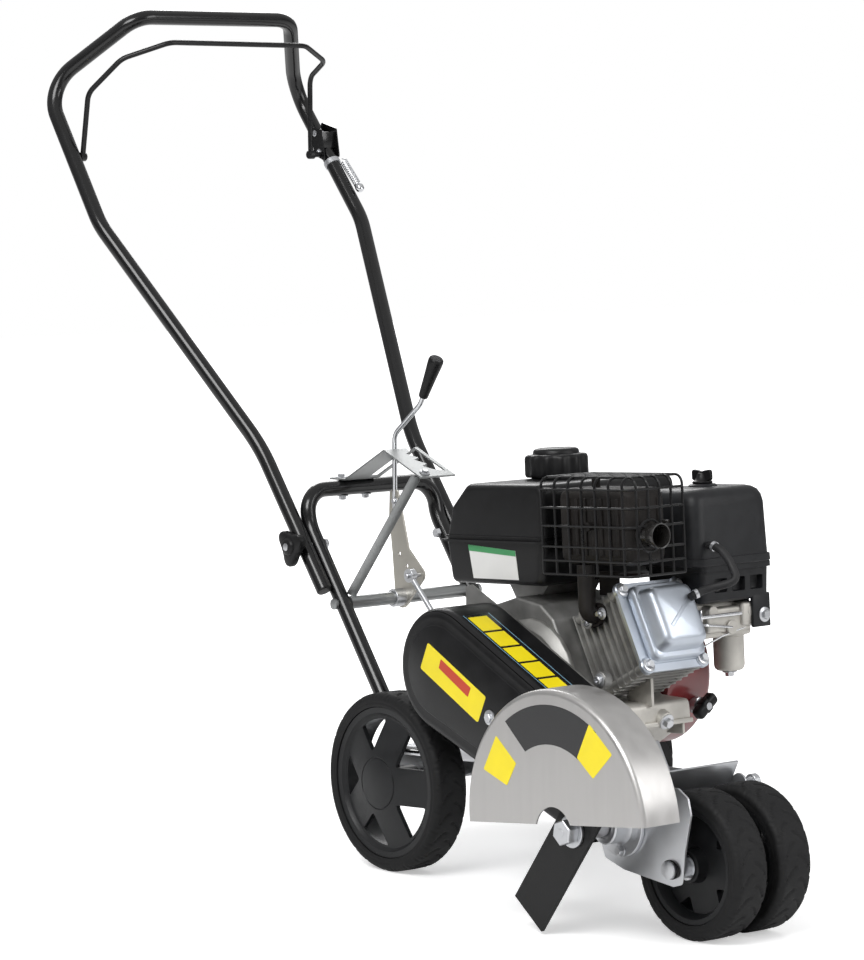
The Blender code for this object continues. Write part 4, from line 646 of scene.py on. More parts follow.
def makeFrontWheel(side, inner):
    wheel = frontWheel
    width, rim, rimInside = wheel["width"], wheel["rim"], wheel["rimInside"]
    body = "front_wheel_" + side
    newPiece("frontTyre_" + side, tyreWork(frontAxle, -1.0, -inner, wheel), "tyreRubber",
             ["front_tyre_" + side], body, bend=50.0)
    profile = [(0.0185, width), (0.02, width - 0.0012), (0.0212, 0.0345), (0.0235, 0.034),
               (rimInside - 0.005, 0.0335), (rimInside - 0.001, width - 0.006),
               (rimInside + 0.0005, width - 0.004), (rim - 0.0005, width - 0.0032), (rim, width - 0.004),
               (rim, 0.004), (rimInside, 0.004),
               (rimInside - 0.004, 0.02), (0.02, 0.02), (0.02, 0.001), (0.019, 0.0), (0.0068, 0.0),
               (0.0068, width)]
    hub = bmesh.new()
    turnProfile(hub, profile, frontAxle + Vector((0.0, inner, 0.0)), toRight, 96, ring=True)
    cutBy(hub, windowTools(frontAxle, rimInside - 0.0055, wheel["spoke"], inner - 0.037, inner - 0.017))
    newPiece("frontHub_" + side, hub, "hubPlastic", ["front_hub_" + side], body, bend=25.0)
    seal = bmesh.new()
    turnProfile(seal, [(0.007, 0.0), (0.015, 0.0), (0.0156, 0.0006), (0.0156, 0.001), (0.0128, 0.001),
                       (0.0122, 0.0004), (0.01, 0.0004), (0.0095, 0.001), (0.007, 0.001)],
                frontAxle + Vector((0.0, inner - width - 0.0001, 0.0)), toRight, 40, ring=True)
    newPiece("frontBearing_" + side, seal, "chrome", body=body)


makeRearWheel("right", -1.0)
makeRearWheel("left", 1.0)
makeFrontWheel("right", -0.1548)
makeFrontWheel("left", -0.0838)
print("wheels are turned")

# Handle, hoop and bail: bent tubes
tubes = {"radius": 0.0108, "sides": 28, "handleHalf": 0.134, "knobAxis": Vector((-0.2575, 0.0, 0.405)),
         "bend": Vector((-0.355, 0.0, 0.535)), "wide": Vector((-0.5944, 0.233, 0.8432)),
         "corner": Vector((-0.7429, 0.2225, 1.0398)), "top": Vector((-0.6336, 0.136, 1.1382)),
         "tubeEnd": 0.072}
hoop = {"foot": Vector((-0.056, 0.0, 0.127)), "bend": Vector((-0.2735, 0.0, 0.429)),
        "top": Vector((-0.283, 0.0, 0.477)), "rise": 0.0298,
        "half": tubes["handleHalf"] - 2.0 * tubes["radius"] - 0.0003}
bail = {"pivot": Vector((-0.668, 0.0, 0.940)), "half": 0.2112, "leftHalf": 0.196, "radius": 0.0038}
bailSpring = {"start": Vector((-0.644, 0.24, 0.929)), "end": Vector((-0.6105, 0.24, 0.894)), "coils": 13,
              "radius": 0.005, "wire": 0.001, "lead": 0.006}


def makeHandle():
    axis = tubes["knobAxis"]
    heading = (axis - tubes["bend"]).normalized()
    low = axis + heading * tubes["tubeEnd"]
    side = Vector((0.0, tubes["handleHalf"], 0.0))
    left = [low + side, tubes["bend"] + side, tubes["wide"], tubes["corner"], tubes["top"]]
    work = bmesh.new()
    sweepTube(work, roundedRoute(bothSides(left), (0.25, 0.12, 0.055, 0.045, 0.045, 0.055, 0.12, 0.25), 14),
              tubes["radius"], tubes["sides"])
    newPiece("handleTube", work, "glossBlack", ["handle_tube"], "handle")
    plugs = bmesh.new()
    for foot in (low - side, low + side):
        turnProfile(plugs, [(0.0, 0.0), (0.0106, 0.0), (0.0106, 0.0015), (0.0095, 0.0028), (0.0, 0.0034)],
                    foot - heading * 0.0004, heading, tubes["sides"])
    newPiece("handlePlugs", plugs, "blackPlastic", body="handle")


def makeHoop():
    # The legs start on their feet, so the route is cut short at the deck.
    side = Vector((0.0, hoop["half"], 0.0))
    left = [hoop["foot"] + side, hoop["bend"] + side, hoop["top"] + side]
    route = roundedRoute(bothSides(left), (0.060, 0.034, 0.034, 0.060), 12)
    aim = (route[1] - route[0]).normalized()
    route[0] = route[0] + aim * (hoop["rise"] / aim.z)
    route[-1] = Vector((route[0].x, -route[0].y, route[0].z))
    work = bmesh.new()
    sweepTube(work, route, tubes["radius"], tubes["sides"])
    toMachine = machine.inverted() @ chassis
    feet = bmesh.new()
    foot = toMachine.inverted() @ hoop["foot"]
    for middle in (-hoop["half"], hoop["half"]):
        roundedBox(feet, (foot.x - 0.04, middle - 0.0125, -0.106), (foot.x + 0.03, middle + 0.0125, -0.103),
                   0.0012, 2)
        for along in (-0.028, 0.02):
            addBolt(feet, (foot.x + along, middle, -0.103), toSky, 0.0048, 0.0035)
    bmesh.ops.transform(feet, matrix=toMachine, verts=feet.verts)
    addMesh(work, feet)
    newPiece("hoopFrame", work, "glossBlack", ["hoop_frame"])


def makeBail():
    pivot, half, leftHalf = bail["pivot"], bail["half"], bail["leftHalf"]
    # The left leg runs inside the handle's tube, so it stands narrower than the right one.
    route = [Vector((pivot.x, leftHalf, pivot.z)), (-0.668, leftHalf, 0.985), (-0.664, 0.194, 1.055),
             (-0.611, 0.182, 1.077), (-0.575, 0.120, 1.098), (-0.575, -half * 0.568, 1.1),
             (-0.615, -half * 0.833, 1.078), (-0.65, -half, 1.03), (pivot.x, -half, pivot.z)]
    work = bmesh.new()
    sweepTube(work, roundedRoute(route, (0.02, 0.02, 0.03, 0.03, 0.03, 0.04, 0.03), 10), bail["radius"], 16)
    for sign, place, reach in ((-1.0, half, 0.0054), (1.0, leftHalf, 0.0169)):
        turnProfile(work, [(0.0, -0.0045), (0.0058, -0.0045), (0.0065, -0.0035), (0.0065, 0.005),
                           (0.004, 0.0052), (0.004, reach), (0.0, reach)],
                    (pivot.x, sign * place, pivot.z), (0.0, sign, 0.0), 24)
    newPiece("bailRod", work, "wireBlack", ["bail"], "bail")


def makeBailMount():
    # The bracket on the handle's left leg, with its clamps and the spring
    bracket = bmesh.new()
    outer = [(-0.7, 0.968), (-0.678, 0.941), (-0.653, 0.9345), (-0.66, 0.979), (-0.697, 0.989)]
    inner = [(-0.683, 0.94), (-0.656, 0.93), (-0.664, 0.978), (-0.688, 0.98)]
    sheetLoops(bracket, [roundedOutline(outer, 0.004, 4)], 0.2382, 0.24)
    sheetLoops(bracket, [roundedOutline(inner, 0.004, 4)], 0.2132, 0.215)
    roundedBox(bracket, (-0.664, 0.2134, 0.95), (-0.6622, 0.2398, 0.974), 0.0006, 2)
    newPiece("bailBracket", bracket, "glossBlack", body="handle")
    newBolts("bailRivets", [((-0.68, 0.2132, 0.972), toRight, 0.003, 0.0022),
                            ((-0.67, 0.2132, 0.944), toRight, 0.003, 0.0022)], body="handle")
    heading = (Vector((-0.6373, 0.0, 0.9314)) - Vector((-0.688, 0.0, 0.9921))).normalized()
    low = tubes["wide"]
    leg = tubes["corner"] - low
    clamp = bmesh.new()
    for along in (-0.024, 0.024):
        spot = Vector((-0.657, 0.2135, 0.956)) + heading * along
        onLeg = low + leg * ((spot - low).dot(leg) / leg.length_squared)
        turnProfile(clamp, [(0.0111, -0.004), (0.0125, -0.004), (0.0125, 0.004), (0.0111, 0.004)], onLeg,
                    heading, 32, ring=True)
    newPiece("bailClamps", clamp, "zincPlate", body="handle")
    start, end, coils = bailSpring["start"], bailSpring["end"], bailSpring["coils"]
    along = end - start
    length = along.length
    along.normalize()
    side = along.cross(Vector(toLeft))
    route = [start - along * bailSpring["lead"]]
    for step in range(coils * 12 + 1):
        angle = math.tau * step / 12.0
        route.append(start + along * length * step / (coils * 12.0)
                     + (side * math.cos(angle) + Vector(toLeft) * math.sin(angle)) * bailSpring["radius"])
    spring = bmesh.new()
    sweepTube(spring, route, bailSpring["wire"], 8)
    turnProfile(spring, [(0.0, -0.006), (0.0036, -0.006), (0.0058, -0.002), (0.0066, 0.002), (0.0062, 0.006),
                         (0.004, 0.009), (0.0, 0.01)], end + along * 0.003, along, 24)
    newPiece("bailSpring", spring, "chrome", body="handle")


def makeKnobs():
    # Three-armed grips on carriage bolts
    axis = tubes["knobAxis"]
    outside = tubes["handleHalf"] + tubes["radius"] + 0.0003
    inside = hoop["half"] - tubes["radius"] - 0.0003
    outline = []
    for step in range(96):
        angle = math.tau * step / 96.0 + math.radians(35.0)
        reach = 0.0175 + 0.0105 * (0.5 + 0.5 * math.cos(3.0 * angle)) ** 1.5
        outline.append((reach * math.cos(angle + 0.4), reach * math.sin(angle + 0.4)))
    levels = ((0.86, 0.004), (0.96, 0.0048), (1.0, 0.0065), (1.0, 0.013), (0.965, 0.015), (0.88, 0.016),
              (0.55, 0.0165))
    for side, outward in (("right", -1.0), ("left", 1.0)):
        out = Vector((0.0, outward, 0.0))
        work = bmesh.new()
        loftRows(work, [newRow(work, [axis + out * (outside + height) + Vector((across, 0.0, up)) * share
                                      for across, up in outline]) for share, height in levels])
        turnProfile(work, [(0.0, 0.0), (0.013, 0.0), (0.013, 0.012), (0.0125, 0.0165), (0.011, 0.019),
                           (0.009, 0.0205), (0.0, 0.0208)], axis + out * outside, out, 40)
        newPiece("knob_" + side + "_grip", work, "blackPlastic", ["knob_" + side], "clamp_" + side, bend=40.0)
        bolt = bmesh.new()
        turnProfile(bolt, [(0.0, 0.0), (0.0052, 0.0), (0.005, 0.0008), (0.0034, 0.0013), (0.0, 0.0014)],
                    axis + out * (outside + 0.0207), out, 24)
        turnProfile(bolt, [(0.0, 0.0), (0.0072, 0.0), (0.0072, 0.0042), (0.0062, 0.0058), (0.0, 0.0058)],
                    axis + out * inside, -out, 6)
        turnProfile(bolt, [(0.0, 0.0), (0.0038, 0.0), (0.0038, 0.0455), (0.0, 0.0455)],
                    axis + out * (inside - 0.0006), out, 16)
        newPiece("knobBolt_" + side, bolt, "zincPlate", body="clamp_" + side)


makeHandle()
makeHoop()
makeBail()
makeBailMount()
makeKnobs()
print("tubes are bent")

# Guard over the blade: half a sheet drum with a notch for the blade's bolt
guard = {"centre": Vector((0.498, 0.0, 0.1456)), "radius": 0.1592, "face": -0.340, "back": -0.2837,
         "sheet": 0.002, "rounding": 0.007, "tilt": 6.1, "steps": 120, "notchRadius": 0.033,
         "notchDrop": 0.012}
blade = {"length": 0.280, "width": 0.0604, "thick": 0.005, "inner": -0.3040, "tilt": 37.0, "bore": 0.0103}
carriage = {"right": -0.2308, "sheet": 0.003, "axleHole": 0.0063, "spindleHole": 0.0275, "foldReach": 0.0024}
cover = {"rear": (0.155, 0.283), "rearRadius": 0.079, "front": (0.470, 0.1516), "frontRadius": 0.0629,
         "end": 0.430, "face": -0.235, "back": -0.150, "rounding": 0.012, "panel": 0.022, "raised": 0.0012}


def makeGuard():
    centre, radius, face, back = guard["centre"], guard["radius"], guard["face"], guard["back"]
    sheet, rounding = guard["sheet"], guard["rounding"]
    inner = radius - sheet
    corner = (radius - rounding, face + rounding)
    profile = arcPoints(corner, rounding, -90.0, 0.0, 8)
    profile += [(radius, back - 0.0004), (radius - 0.0003, back), (inner + 0.0003, back),
                (inner, back - 0.0002)]
    profile += arcPoints(corner, rounding - sheet, 0.0, -90.0, 7)
    shell = bmesh.new()
    rows = []
    for step in range(guard["steps"] + 1):
        angle = math.radians(guard["tilt"] + 180.0 * step / guard["steps"])
        ray = Vector((math.cos(angle), 0.0, math.sin(angle)))
        rows.append(newRow(shell, [centre + ray * across + Vector((0.0, depth, 0.0))
                                   for across, depth in profile]))
    for low, high in zip(rows, rows[1:]):
        for step in range(len(profile) - 1):
            shell.faces.new((low[step], low[step + 1], high[step + 1], high[step]))
    shell.faces.new(rows[0])
    shell.faces.new(rows[-1])
    tilt = math.radians(guard["tilt"])
    along = Vector((math.cos(tilt), 0.0, math.sin(tilt)))
    upward = Vector((-along.z, 0.0, along.x))
    lead = math.degrees(math.asin(guard["notchDrop"] / guard["notchRadius"]))
    notch = arcPoints((0.0, -guard["notchDrop"]), guard["notchRadius"], 180.0 - lead, lead, 30)
    edges = []
    for depth, place in ((face, 0), (face + sheet, -1)):
        cut = newRow(shell, [centre + along * across + upward * up + Vector((0.0, depth, 0.0))
                             for across, up in notch])
        shell.faces.new([row[place] for row in rows] + cut)
        edges.append([rows[-1][place]] + cut + [rows[0][place]])
    for outer, inside in zip(zip(edges[0], edges[0][1:]), zip(edges[1], edges[1][1:])):
        shell.faces.new((outer[0], outer[1], inside[1], inside[0]))
    newPiece("bladeGuard", shell, "brushedSheet", ["blade_guard"], bend=30.0)


def addPanel(name, finish, outline, low, high, slot=None, base=machine):
    # A thin film of plain colour on its carrier.
    work = bmesh.new()
    sheetLoops(work, [outline], low, high)
    newPiece(name, work, finish, slot=slot, base=base)


def makeGuardPanels():
    centre = (guard["centre"].x, guard["centre"].z)
    face = guard["face"]
    sides = {"guardPanelLeft": [(0.3958, 0.2397), (0.4323, 0.2104), (0.4151, 0.1819), (0.3717, 0.1964)],
             "guardPanelRight": [(0.5642, 0.2723), (0.6036, 0.2408), (0.5702, 0.2089), (0.5424, 0.2301)]}
    for name, corners in sides.items():
        addPanel(name, "panelYellow", roundedOutline(corners, 0.002, 3), face - 0.0003, face + 0.0001, "zinc")
    band = arcPoints(centre, 0.1415, 56.5, 127.0, 40) + arcPoints(centre, 0.0945, 121.0, 58.5, 36)
    addPanel("guardPanelBand", "panelBlack", band, face - 0.0002, face + 0.0001)


def makeBlade():
    half, wide, thick = blade["length"] / 2.0, blade["width"] / 2.0, blade["thick"]
    work = bmesh.new()
    sheetLoops(work, [[(-wide, -half), (wide, -half), (wide, half), (-wide, half)],
                      ringPoints((0.0, 0.0), blade["bore"])], -thick / 2.0, thick / 2.0)
    turn = (Matrix.Translation(spindle + Vector((0.0, blade["inner"] - thick / 2.0, 0.0)))
            @ Matrix.Rotation(math.radians(blade["tilt"]), 4, "Y"))
    bmesh.ops.transform(work, matrix=turn, verts=work.verts)
    newPiece("bladePlate", work, "bladeBlack", ["blade"], "blade_rotor", soften=0.0004)
    spot = (spindle.x, blade["inner"] - thick - 0.0003, spindle.z)
    bolt = bmesh.new()
    turnProfile(bolt, [(0.0, 0.0), (0.0198, 0.0), (0.02, 0.0004), (0.02, 0.003), (0.0194, 0.0036),
                       (0.0, 0.0036)], spot, toRight, 56)
    turnProfile(bolt, [(0.0, 0.0036), (0.0158, 0.0036), (0.016, 0.004), (0.016, 0.0176), (0.0146, 0.019),
                       (0.0, 0.019)], spot, toRight, 6, start=(math.cos(0.35), 0.0, math.sin(0.35)))
    turnProfile(bolt, [(0.0, 0.019), (0.0052, 0.019), (0.0048, 0.0196), (0.0, 0.0197)], spot, toRight, 28)
    newPiece("bladeBolt", bolt, "zincPlate", ["blade_bolt"], "blade_rotor", "steel", soften=0.0003)


def makeSpindle():
    spot = (spindle.x, 0.0, spindle.z)
    plate = -0.2270  # the deck frame's outer side
    work = bmesh.new()
    turnProfile(work, [(0.0105, plate + 0.0034), (0.0185, plate + 0.0034), (0.0185, plate - 0.0003),
                       (0.0268, plate - 0.0003), (0.027, plate - 0.0006), (0.027, -0.2312), (0.0392, -0.2313),
                       (0.04, -0.232), (0.04, -0.236), (0.0392, -0.2366), (0.025, -0.2376), (0.024, -0.2392),
                       (0.0226, -0.244), (0.0226, -0.26), (0.0216, -0.2614), (0.0205, -0.262),
                       (0.015, -0.262), (0.0144, -0.2605), (0.0105, -0.2605)], spot, toLeft, 72, ring=True)
    for angle in (math.radians(35.0 + 120.0 * number) for number in range(3)):
        addBolt(work, spindle + Vector((math.cos(angle) * 0.032, -0.2366, math.sin(angle) * 0.032)), toRight,
                0.0052, 0.0042)
    newPiece("spindleHousing", work, "zincPlate", ["spindle_housing"], bend=30.0)
    shaft = bmesh.new()
    turnProfile(shaft, [(0.0, -0.2065), (0.0096, -0.2065), (0.01, -0.2069), (0.01, -0.2625),
                        (0.0125, -0.2625), (0.0125, -0.3037), (0.01, -0.3037), (0.01, -0.3085),
                        (0.0, -0.3085)], spot, toLeft,
                56)
    newPiece("bladeShaft", shaft, "plainSteel", ["blade_spindle"], "blade_rotor")


def makeCarriage():
    rear, front, plate = spindle.x, frontAxle.x, carriage["right"]
    corners = [(rear - 0.04, 0.108), (rear - 0.032, 0.088), (rear + 0.002, 0.078), (front + 0.0025, 0.069),
               (front + 0.0185, 0.074), (front + 0.0245, 0.110), (front + 0.0355, 0.158),
               (front + 0.0305, 0.178), (front + 0.0135, 0.188), ((rear + front) / 2.0, 0.182), (rear, 0.176),
               (rear - 0.028, 0.165), (rear - 0.042, 0.138)]
    work = bmesh.new()
    sheetLoops(work, [roundedOutline(corners, 0.006, 4),
                      ringPoints((rear, spindle.z), carriage["spindleHole"], 56),
                      ringPoints((front, frontAxle.z), carriage["axleHole"], 28)],
               plate, plate + carriage["sheet"])
    # The lower edge is folded back along a slanting line.
    start = Vector((0.5033, plate, 0.0805))
    fold = Vector((0.5982, plate, 0.1090)) - start
    away = Vector((fold.z, 0.0, -fold.x)).normalized()
    bmesh.ops.bisect_plane(work, geom=work.verts[:] + work.edges[:] + work.faces[:], plane_co=start,
                           plane_no=away, dist=0.00001)
    for vert in work.verts:
        reach = (vert.co - start).dot(away)
        if reach > 0.0001 and abs(vert.co.y - plate) < 0.0001:
            vert.co.y += min(carriage["foldReach"], reach * 0.16)
    newPiece("carriagePlateRight", work, "zincPlate", ["carriage_right_plate"], "front_carriage",
             soften=0.0005)
    turns = [math.tau * step / 36.0 for step in range(36)]
    oval = [(front + 0.015 * math.cos(turn), frontAxle.z + 0.0115 * math.sin(turn)) for turn in turns]
    washer = bmesh.new()
    sheetLoops(washer, [oval, ringPoints((front, frontAxle.z), 0.0064, 24)], plate - 0.0002, plate)
    newPiece("axleWasher", washer, "satinBlack", body="front_carriage", slot="zinc")


def coverSide():
    # Heading of the line between the cover's two circles, and how far the taut sides lean from square.
    rear, front = cover["rear"], cover["front"]
    across = Vector((front[0] - rear[0], front[1] - rear[1]))
    return (math.atan2(across.y, across.x),
            math.acos((cover["rearRadius"] - cover["frontRadius"]) / across.length))


def coverOutline(inset, steps=40):
    # The taut loop round two circles.
    heading, lean = map(math.degrees, coverSide())
    return (arcPoints(cover["rear"], cover["rearRadius"] - inset, heading + lean, heading + 360.0 - lean,
                      steps)
            + arcPoints(cover["front"], cover["frontRadius"] - inset, heading - lean, heading + lean, steps))


def makeBeltCover():
    face, rounding, inset = cover["face"], cover["rounding"], cover["panel"]
    shape = [(0.0, cover["back"]), (0.0, face + rounding)]
    for sweep in (math.radians(90.0 * step / 8.0) for step in range(1, 8)):
        shape.append((rounding * (1.0 - math.cos(sweep)), face + rounding * (1.0 - math.sin(sweep))))
    shape += [(rounding, face), (inset - 0.002, face), (inset - 0.0012, face - 0.0002),
              (inset - 0.0004, face - 0.001), (inset, face - cover["raised"])]
    work = bmesh.new()
    rows = [newRow(work, [(across, depth, up) for across, up in coverOutline(amount)])
            for amount, depth in shape]
    loftRows(work, rows, caps=False)
    work.faces.new(rows[-1])
    work.faces.new(rows[0])
    bmesh.ops.remove_doubles(work, verts=work.verts, dist=0.00001)
    end = bmesh.new()
    roundedBox(end, (cover["end"], -0.30, 0.0), (0.60, -0.10, 0.5))
    hollow = bmesh.new()
    sheetLoops(hollow, [coverOutline(0.0034, 24)], face + 0.003, cover["back"] - 0.003)
    cutBy(work, [end, hollow])
    newPiece("beltCover", work, "satinBlack", ["belt_cover"], bend=28.0)


def makeCoverPanels():
    face = cover["face"] - cover["raised"]
    field = [(0.1383, 0.3177), (0.252, 0.2601), (0.2357, 0.2262), (0.1224, 0.2836)]
    block = [(0.164, 0.2991), (0.2229, 0.2684), (0.2167, 0.2564), (0.1597, 0.2873)]
    addPanel("coverPanel", "panelYellow", roundedOutline(field, 0.003, 4), face - 0.0003, face + 0.0002)
    addPanel("coverPanelBlock", "panelOrange", roundedOutline(block, 0.0015, 3), face - 0.0005, face - 0.0002)
    # The strip on the upper rim follows the taut side of the outline.
    turn = sum(coverSide())
    normal = Vector((math.cos(turn), 0.0, math.sin(turn)))
    along = Vector((normal.z, 0.0, -normal.x))
    start = Vector((cover["rear"][0], 0.0, cover["rear"][1])) + normal * cover["rearRadius"]
    strips = [("coverStrip", "panelBlack", 0.0, 0.240, -0.2215, -0.1765, 0.0003),
              ("coverStripEdgeNear", "panelBlue", 0.0, 0.240, -0.22, -0.2192, 0.0005),
              ("coverStripEdgeFar", "panelBlue", 0.0, 0.240, -0.1788, -0.178, 0.0005)]
    for number in range(5):
        begin = 0.006 + 0.0375 * number
        strips.append(("coverStripSquare_" + str(number), "panelYellow", begin, begin + 0.033, -0.2165,
                       -0.186, 0.0006))
    for name, finish, low, high, near, far, lift in strips:
        spots = [start + along * reach + Vector((0.0, depth, 0.0))
                 for reach, depth in ((low, near), (high, near), (high, far), (low, far))]
        work = bmesh.new()
        loftRows(work, [newRow(work, [spot + normal * height for spot in spots])
                        for height in (-0.0002, lift)])
        newPiece(name, work, finish)
    newBolts("coverBolt", [((0.259, face, 0.235), toRight, 0.0062, 0.0035)])


makeGuard()
makeGuardPanels()
makeBlade()
makeSpindle()
makeCarriage()
makeBeltCover()
makeCoverPanels()
print("guard, blade, carriage and cover are formed")

# Engine: "along" and "up" of the head are measured on the cylinder's bore line
head = {"start": 0.07, "end": 0.168, "top": 0.208, "middle": -0.0355, "finHalf": 0.0535, "finTall": 0.057,
        "finThick": 0.0026, "finCount": 8, "finPitch": 0.0125, "between": (0.0062, 0.0084), "inset": 0.004,
        "ridgeLean": math.radians(38.0)}
tank = {"low": 0.1226, "top": 0.2522, "seam": 0.1785, "right": -0.12, "left": 0.11, "rounding": 0.01,
        "cap": Vector((-0.078, 0.0, 0.2547))}
mufflerBox = {"low": Vector((0.055, -0.118, 0.152)), "high": Vector((0.19, -0.052, 0.248)),
              "outlet": (-0.097, 0.19)}
cage = {"low": Vector((0.041, -0.13, 0.141)), "high": Vector((0.206, -0.041, 0.262)), "wire": 0.0017,
        "bend": 0.012, "levels": (0.141, 0.158, 0.1755, 0.2015, 0.2245, 0.2475), "side": 7, "front": 5}
exhaust = {"along": 0.119, "up": 0.0405, "radius": 0.011}
cleaner = {"low": Vector((0.06, 0.002, 0.1406)), "high": Vector((0.177, 0.143, 0.2386)),
           "knob": Vector((0.1185, 0.075, 0.2423))}


def onBoreLine(along, across):
    return (along * math.cos(boreLean) - across * math.sin(boreLean),
            along * math.sin(boreLean) + across * math.cos(boreLean))


def makeCrankcase():
    seat = head["start"] - 0.0003
    corners = [(-0.105, -0.106), (0.044, -0.106), (0.064, -0.096), (0.142, -0.052), (0.14, -0.026),
               onBoreLine(seat, -0.058), onBoreLine(seat, 0.058), (0.015, 0.1), (-0.03, 0.108),
               (-0.078, 0.096), (-0.105, 0.06)]
    work = bmesh.new()
    sheetLoops(work, [roundedOutline(corners, 0.008, 4)], -0.118, 0.018)
    bmesh.ops.bevel(work, geom=[edge for edge in work.edges if edge.calc_face_angle(0.0) > 1.0], offset=0.004,
                    segments=3, affect="EDGES", profile=0.5)
    # Base flange, ribs and bosses of the casting
    addBoxes(work, ((-0.1055, -0.12, -0.106), (0.05, 0.0185, -0.098), 0.0015, 2),
             ((0.1, -0.053, -0.03), (0.1465, -0.048, 0.01), 0.0012, 2),
             ((0.09, -0.1185, -0.056), (0.145, 0.0185, -0.05), 0.0015, 2))
    for across in (-0.098, -0.062, 0.004):
        roundedBox(work, (0.08, across - 0.002, -0.07), (0.142, across + 0.002, -0.048), 0.0012, 2)
    slant = (0.9, 0.0, -0.43)
    for spot, axis, radius, height in (((0.138, -0.03, -0.046), slant, 0.0115, 0.01),
                                       ((0.128, -0.1175, 0.01), toRight, 0.0105, 0.004),
                                       ((0.106, -0.1175, -0.046), toRight, 0.012, 0.004)):
        turnProfile(work, [(0.0, -0.008), (radius, -0.008), (radius, height - 0.001),
                           (radius - 0.001, height), (0.0, height)], spot, axis, 32)
    casting = newPiece("crankcaseCasting", work, "caseAlloy", ["crankcase"], base=chassis)
    # Painted shade: the casting's upper faces take a darker copy of the same cast alloy than its lower part.
    casting.data.materials.append(materials["darkAlloy"])
    back = chassis.inverted()
    for face in casting.data.polygons:
        if (back @ face.center).z > -0.006:
            face.material_index = 1
    newBolts("crankcaseBolts", [((0.147, -0.03, -0.0503), slant, 0.0068, 0.006),
                                ((0.128, -0.1215, 0.01), toRight, 0.0055, 0.0045, True),
                                ((0.106, -0.1215, -0.046), toRight, 0.0062, 0.0045)], base=chassis)


def makeCylinder():
    start, end, middle, half, tall = (head[part] for part in ("start", "end", "middle", "finHalf", "finTall"))
    inset = head["inset"]
    work = bmesh.new()
    roundedBox(work, (start, middle - 0.04, -0.042), (end, middle + 0.04, 0.042), 0.003, 2)
    for number in range(head["finCount"]):
        fin = start + 0.004 + head["finPitch"] * number
        roundedBox(work, (fin, middle - half, -tall), (fin + head["finThick"], middle + half, tall), 0.0008,
                   2)
        if number < head["finCount"] - 1:
            near, far = head["between"]
            roundedBox(work, (fin + near, middle - half + inset, inset - tall),
                       (fin + far, middle + half - inset, tall - inset), 0.0008, 2)
    length = end - start - 0.012
    for across in (-0.0465, 0.0465):
        for up in (-0.05, 0.05):
            turnProfile(work, [(0.0, 0.0), (0.0068, 0.0), (0.0068, length), (0.0, length)],
                        (start + 0.008, middle + across, up), toFront, 20)
    newPiece("cylinderFins", work, "castAlloy", ["cylinder"], base=boreLine)


def makeValveCover():
    middle = head["middle"]
    start = head["end"] + 0.0003
    work = bmesh.new()
    # The gasket flange has four bulged ears; the bolts stand in them.
    flange = softOutline((middle - 0.059, -0.06), (middle + 0.05, 0.059), 0.014, 8)
    sheetLoops(work, [flange], start, start + 0.0045, "yz")
    roundedBox(work, (start - 0.0001, middle - 0.043, -0.05), (start + 0.0085, middle + 0.043, 0.052), 0.004,
               3)
    bolts = []
    for across in (-0.05, 0.042):
        for up in (-0.051, 0.0505):
            turnProfile(work, [(0.0, 0.0), (0.0105, 0.0), (0.0105, 0.0052), (0.0092, 0.0066), (0.0, 0.0066)],
                        (start, middle + across, up), toFront, 32)
            bolts.append(((start + 0.0066, middle + across, up), toFront, 0.0056, 0.0048))
    # Drawn dome with a soft shoulder and a flat face: height, half width, half height and corner
    levels = ((0.0, 0.044, 0.0505, 0.012), (0.007, 0.0432, 0.0497, 0.012), (0.0092, 0.0415, 0.048, 0.012),
              (0.0098, 0.0385, 0.043, 0.013), (0.012, 0.0375, 0.0415, 0.013), (0.02, 0.0366, 0.0406, 0.013),
              (0.0262, 0.0348, 0.0388, 0.012), (0.03, 0.0316, 0.0356, 0.011), (0.0318, 0.0268, 0.0308, 0.01))
    foot = start + 0.0078
    loftRows(work, [newRow(work, [(foot + height, middle + across, up + 0.002)
                                  for across, up in softOutline((-wide, -tall), (wide, tall), corner, 6)])
                    for height, wide, tall, corner in levels])
    face = foot + levels[-1][0]
    roundedBox(work, (face - 0.002, middle - 0.026, -0.0005), (face + 0.0006, middle + 0.026, 0.0045), 0.0005,
               2, Matrix.Rotation(head["ridgeLean"], 4, "X"))
    newPiece("valveCover", work, "coverZinc", ["valve_cover"], base=boreLine, bend=40.0)
    newBolts("valveCoverBolts", bolts, base=boreLine)


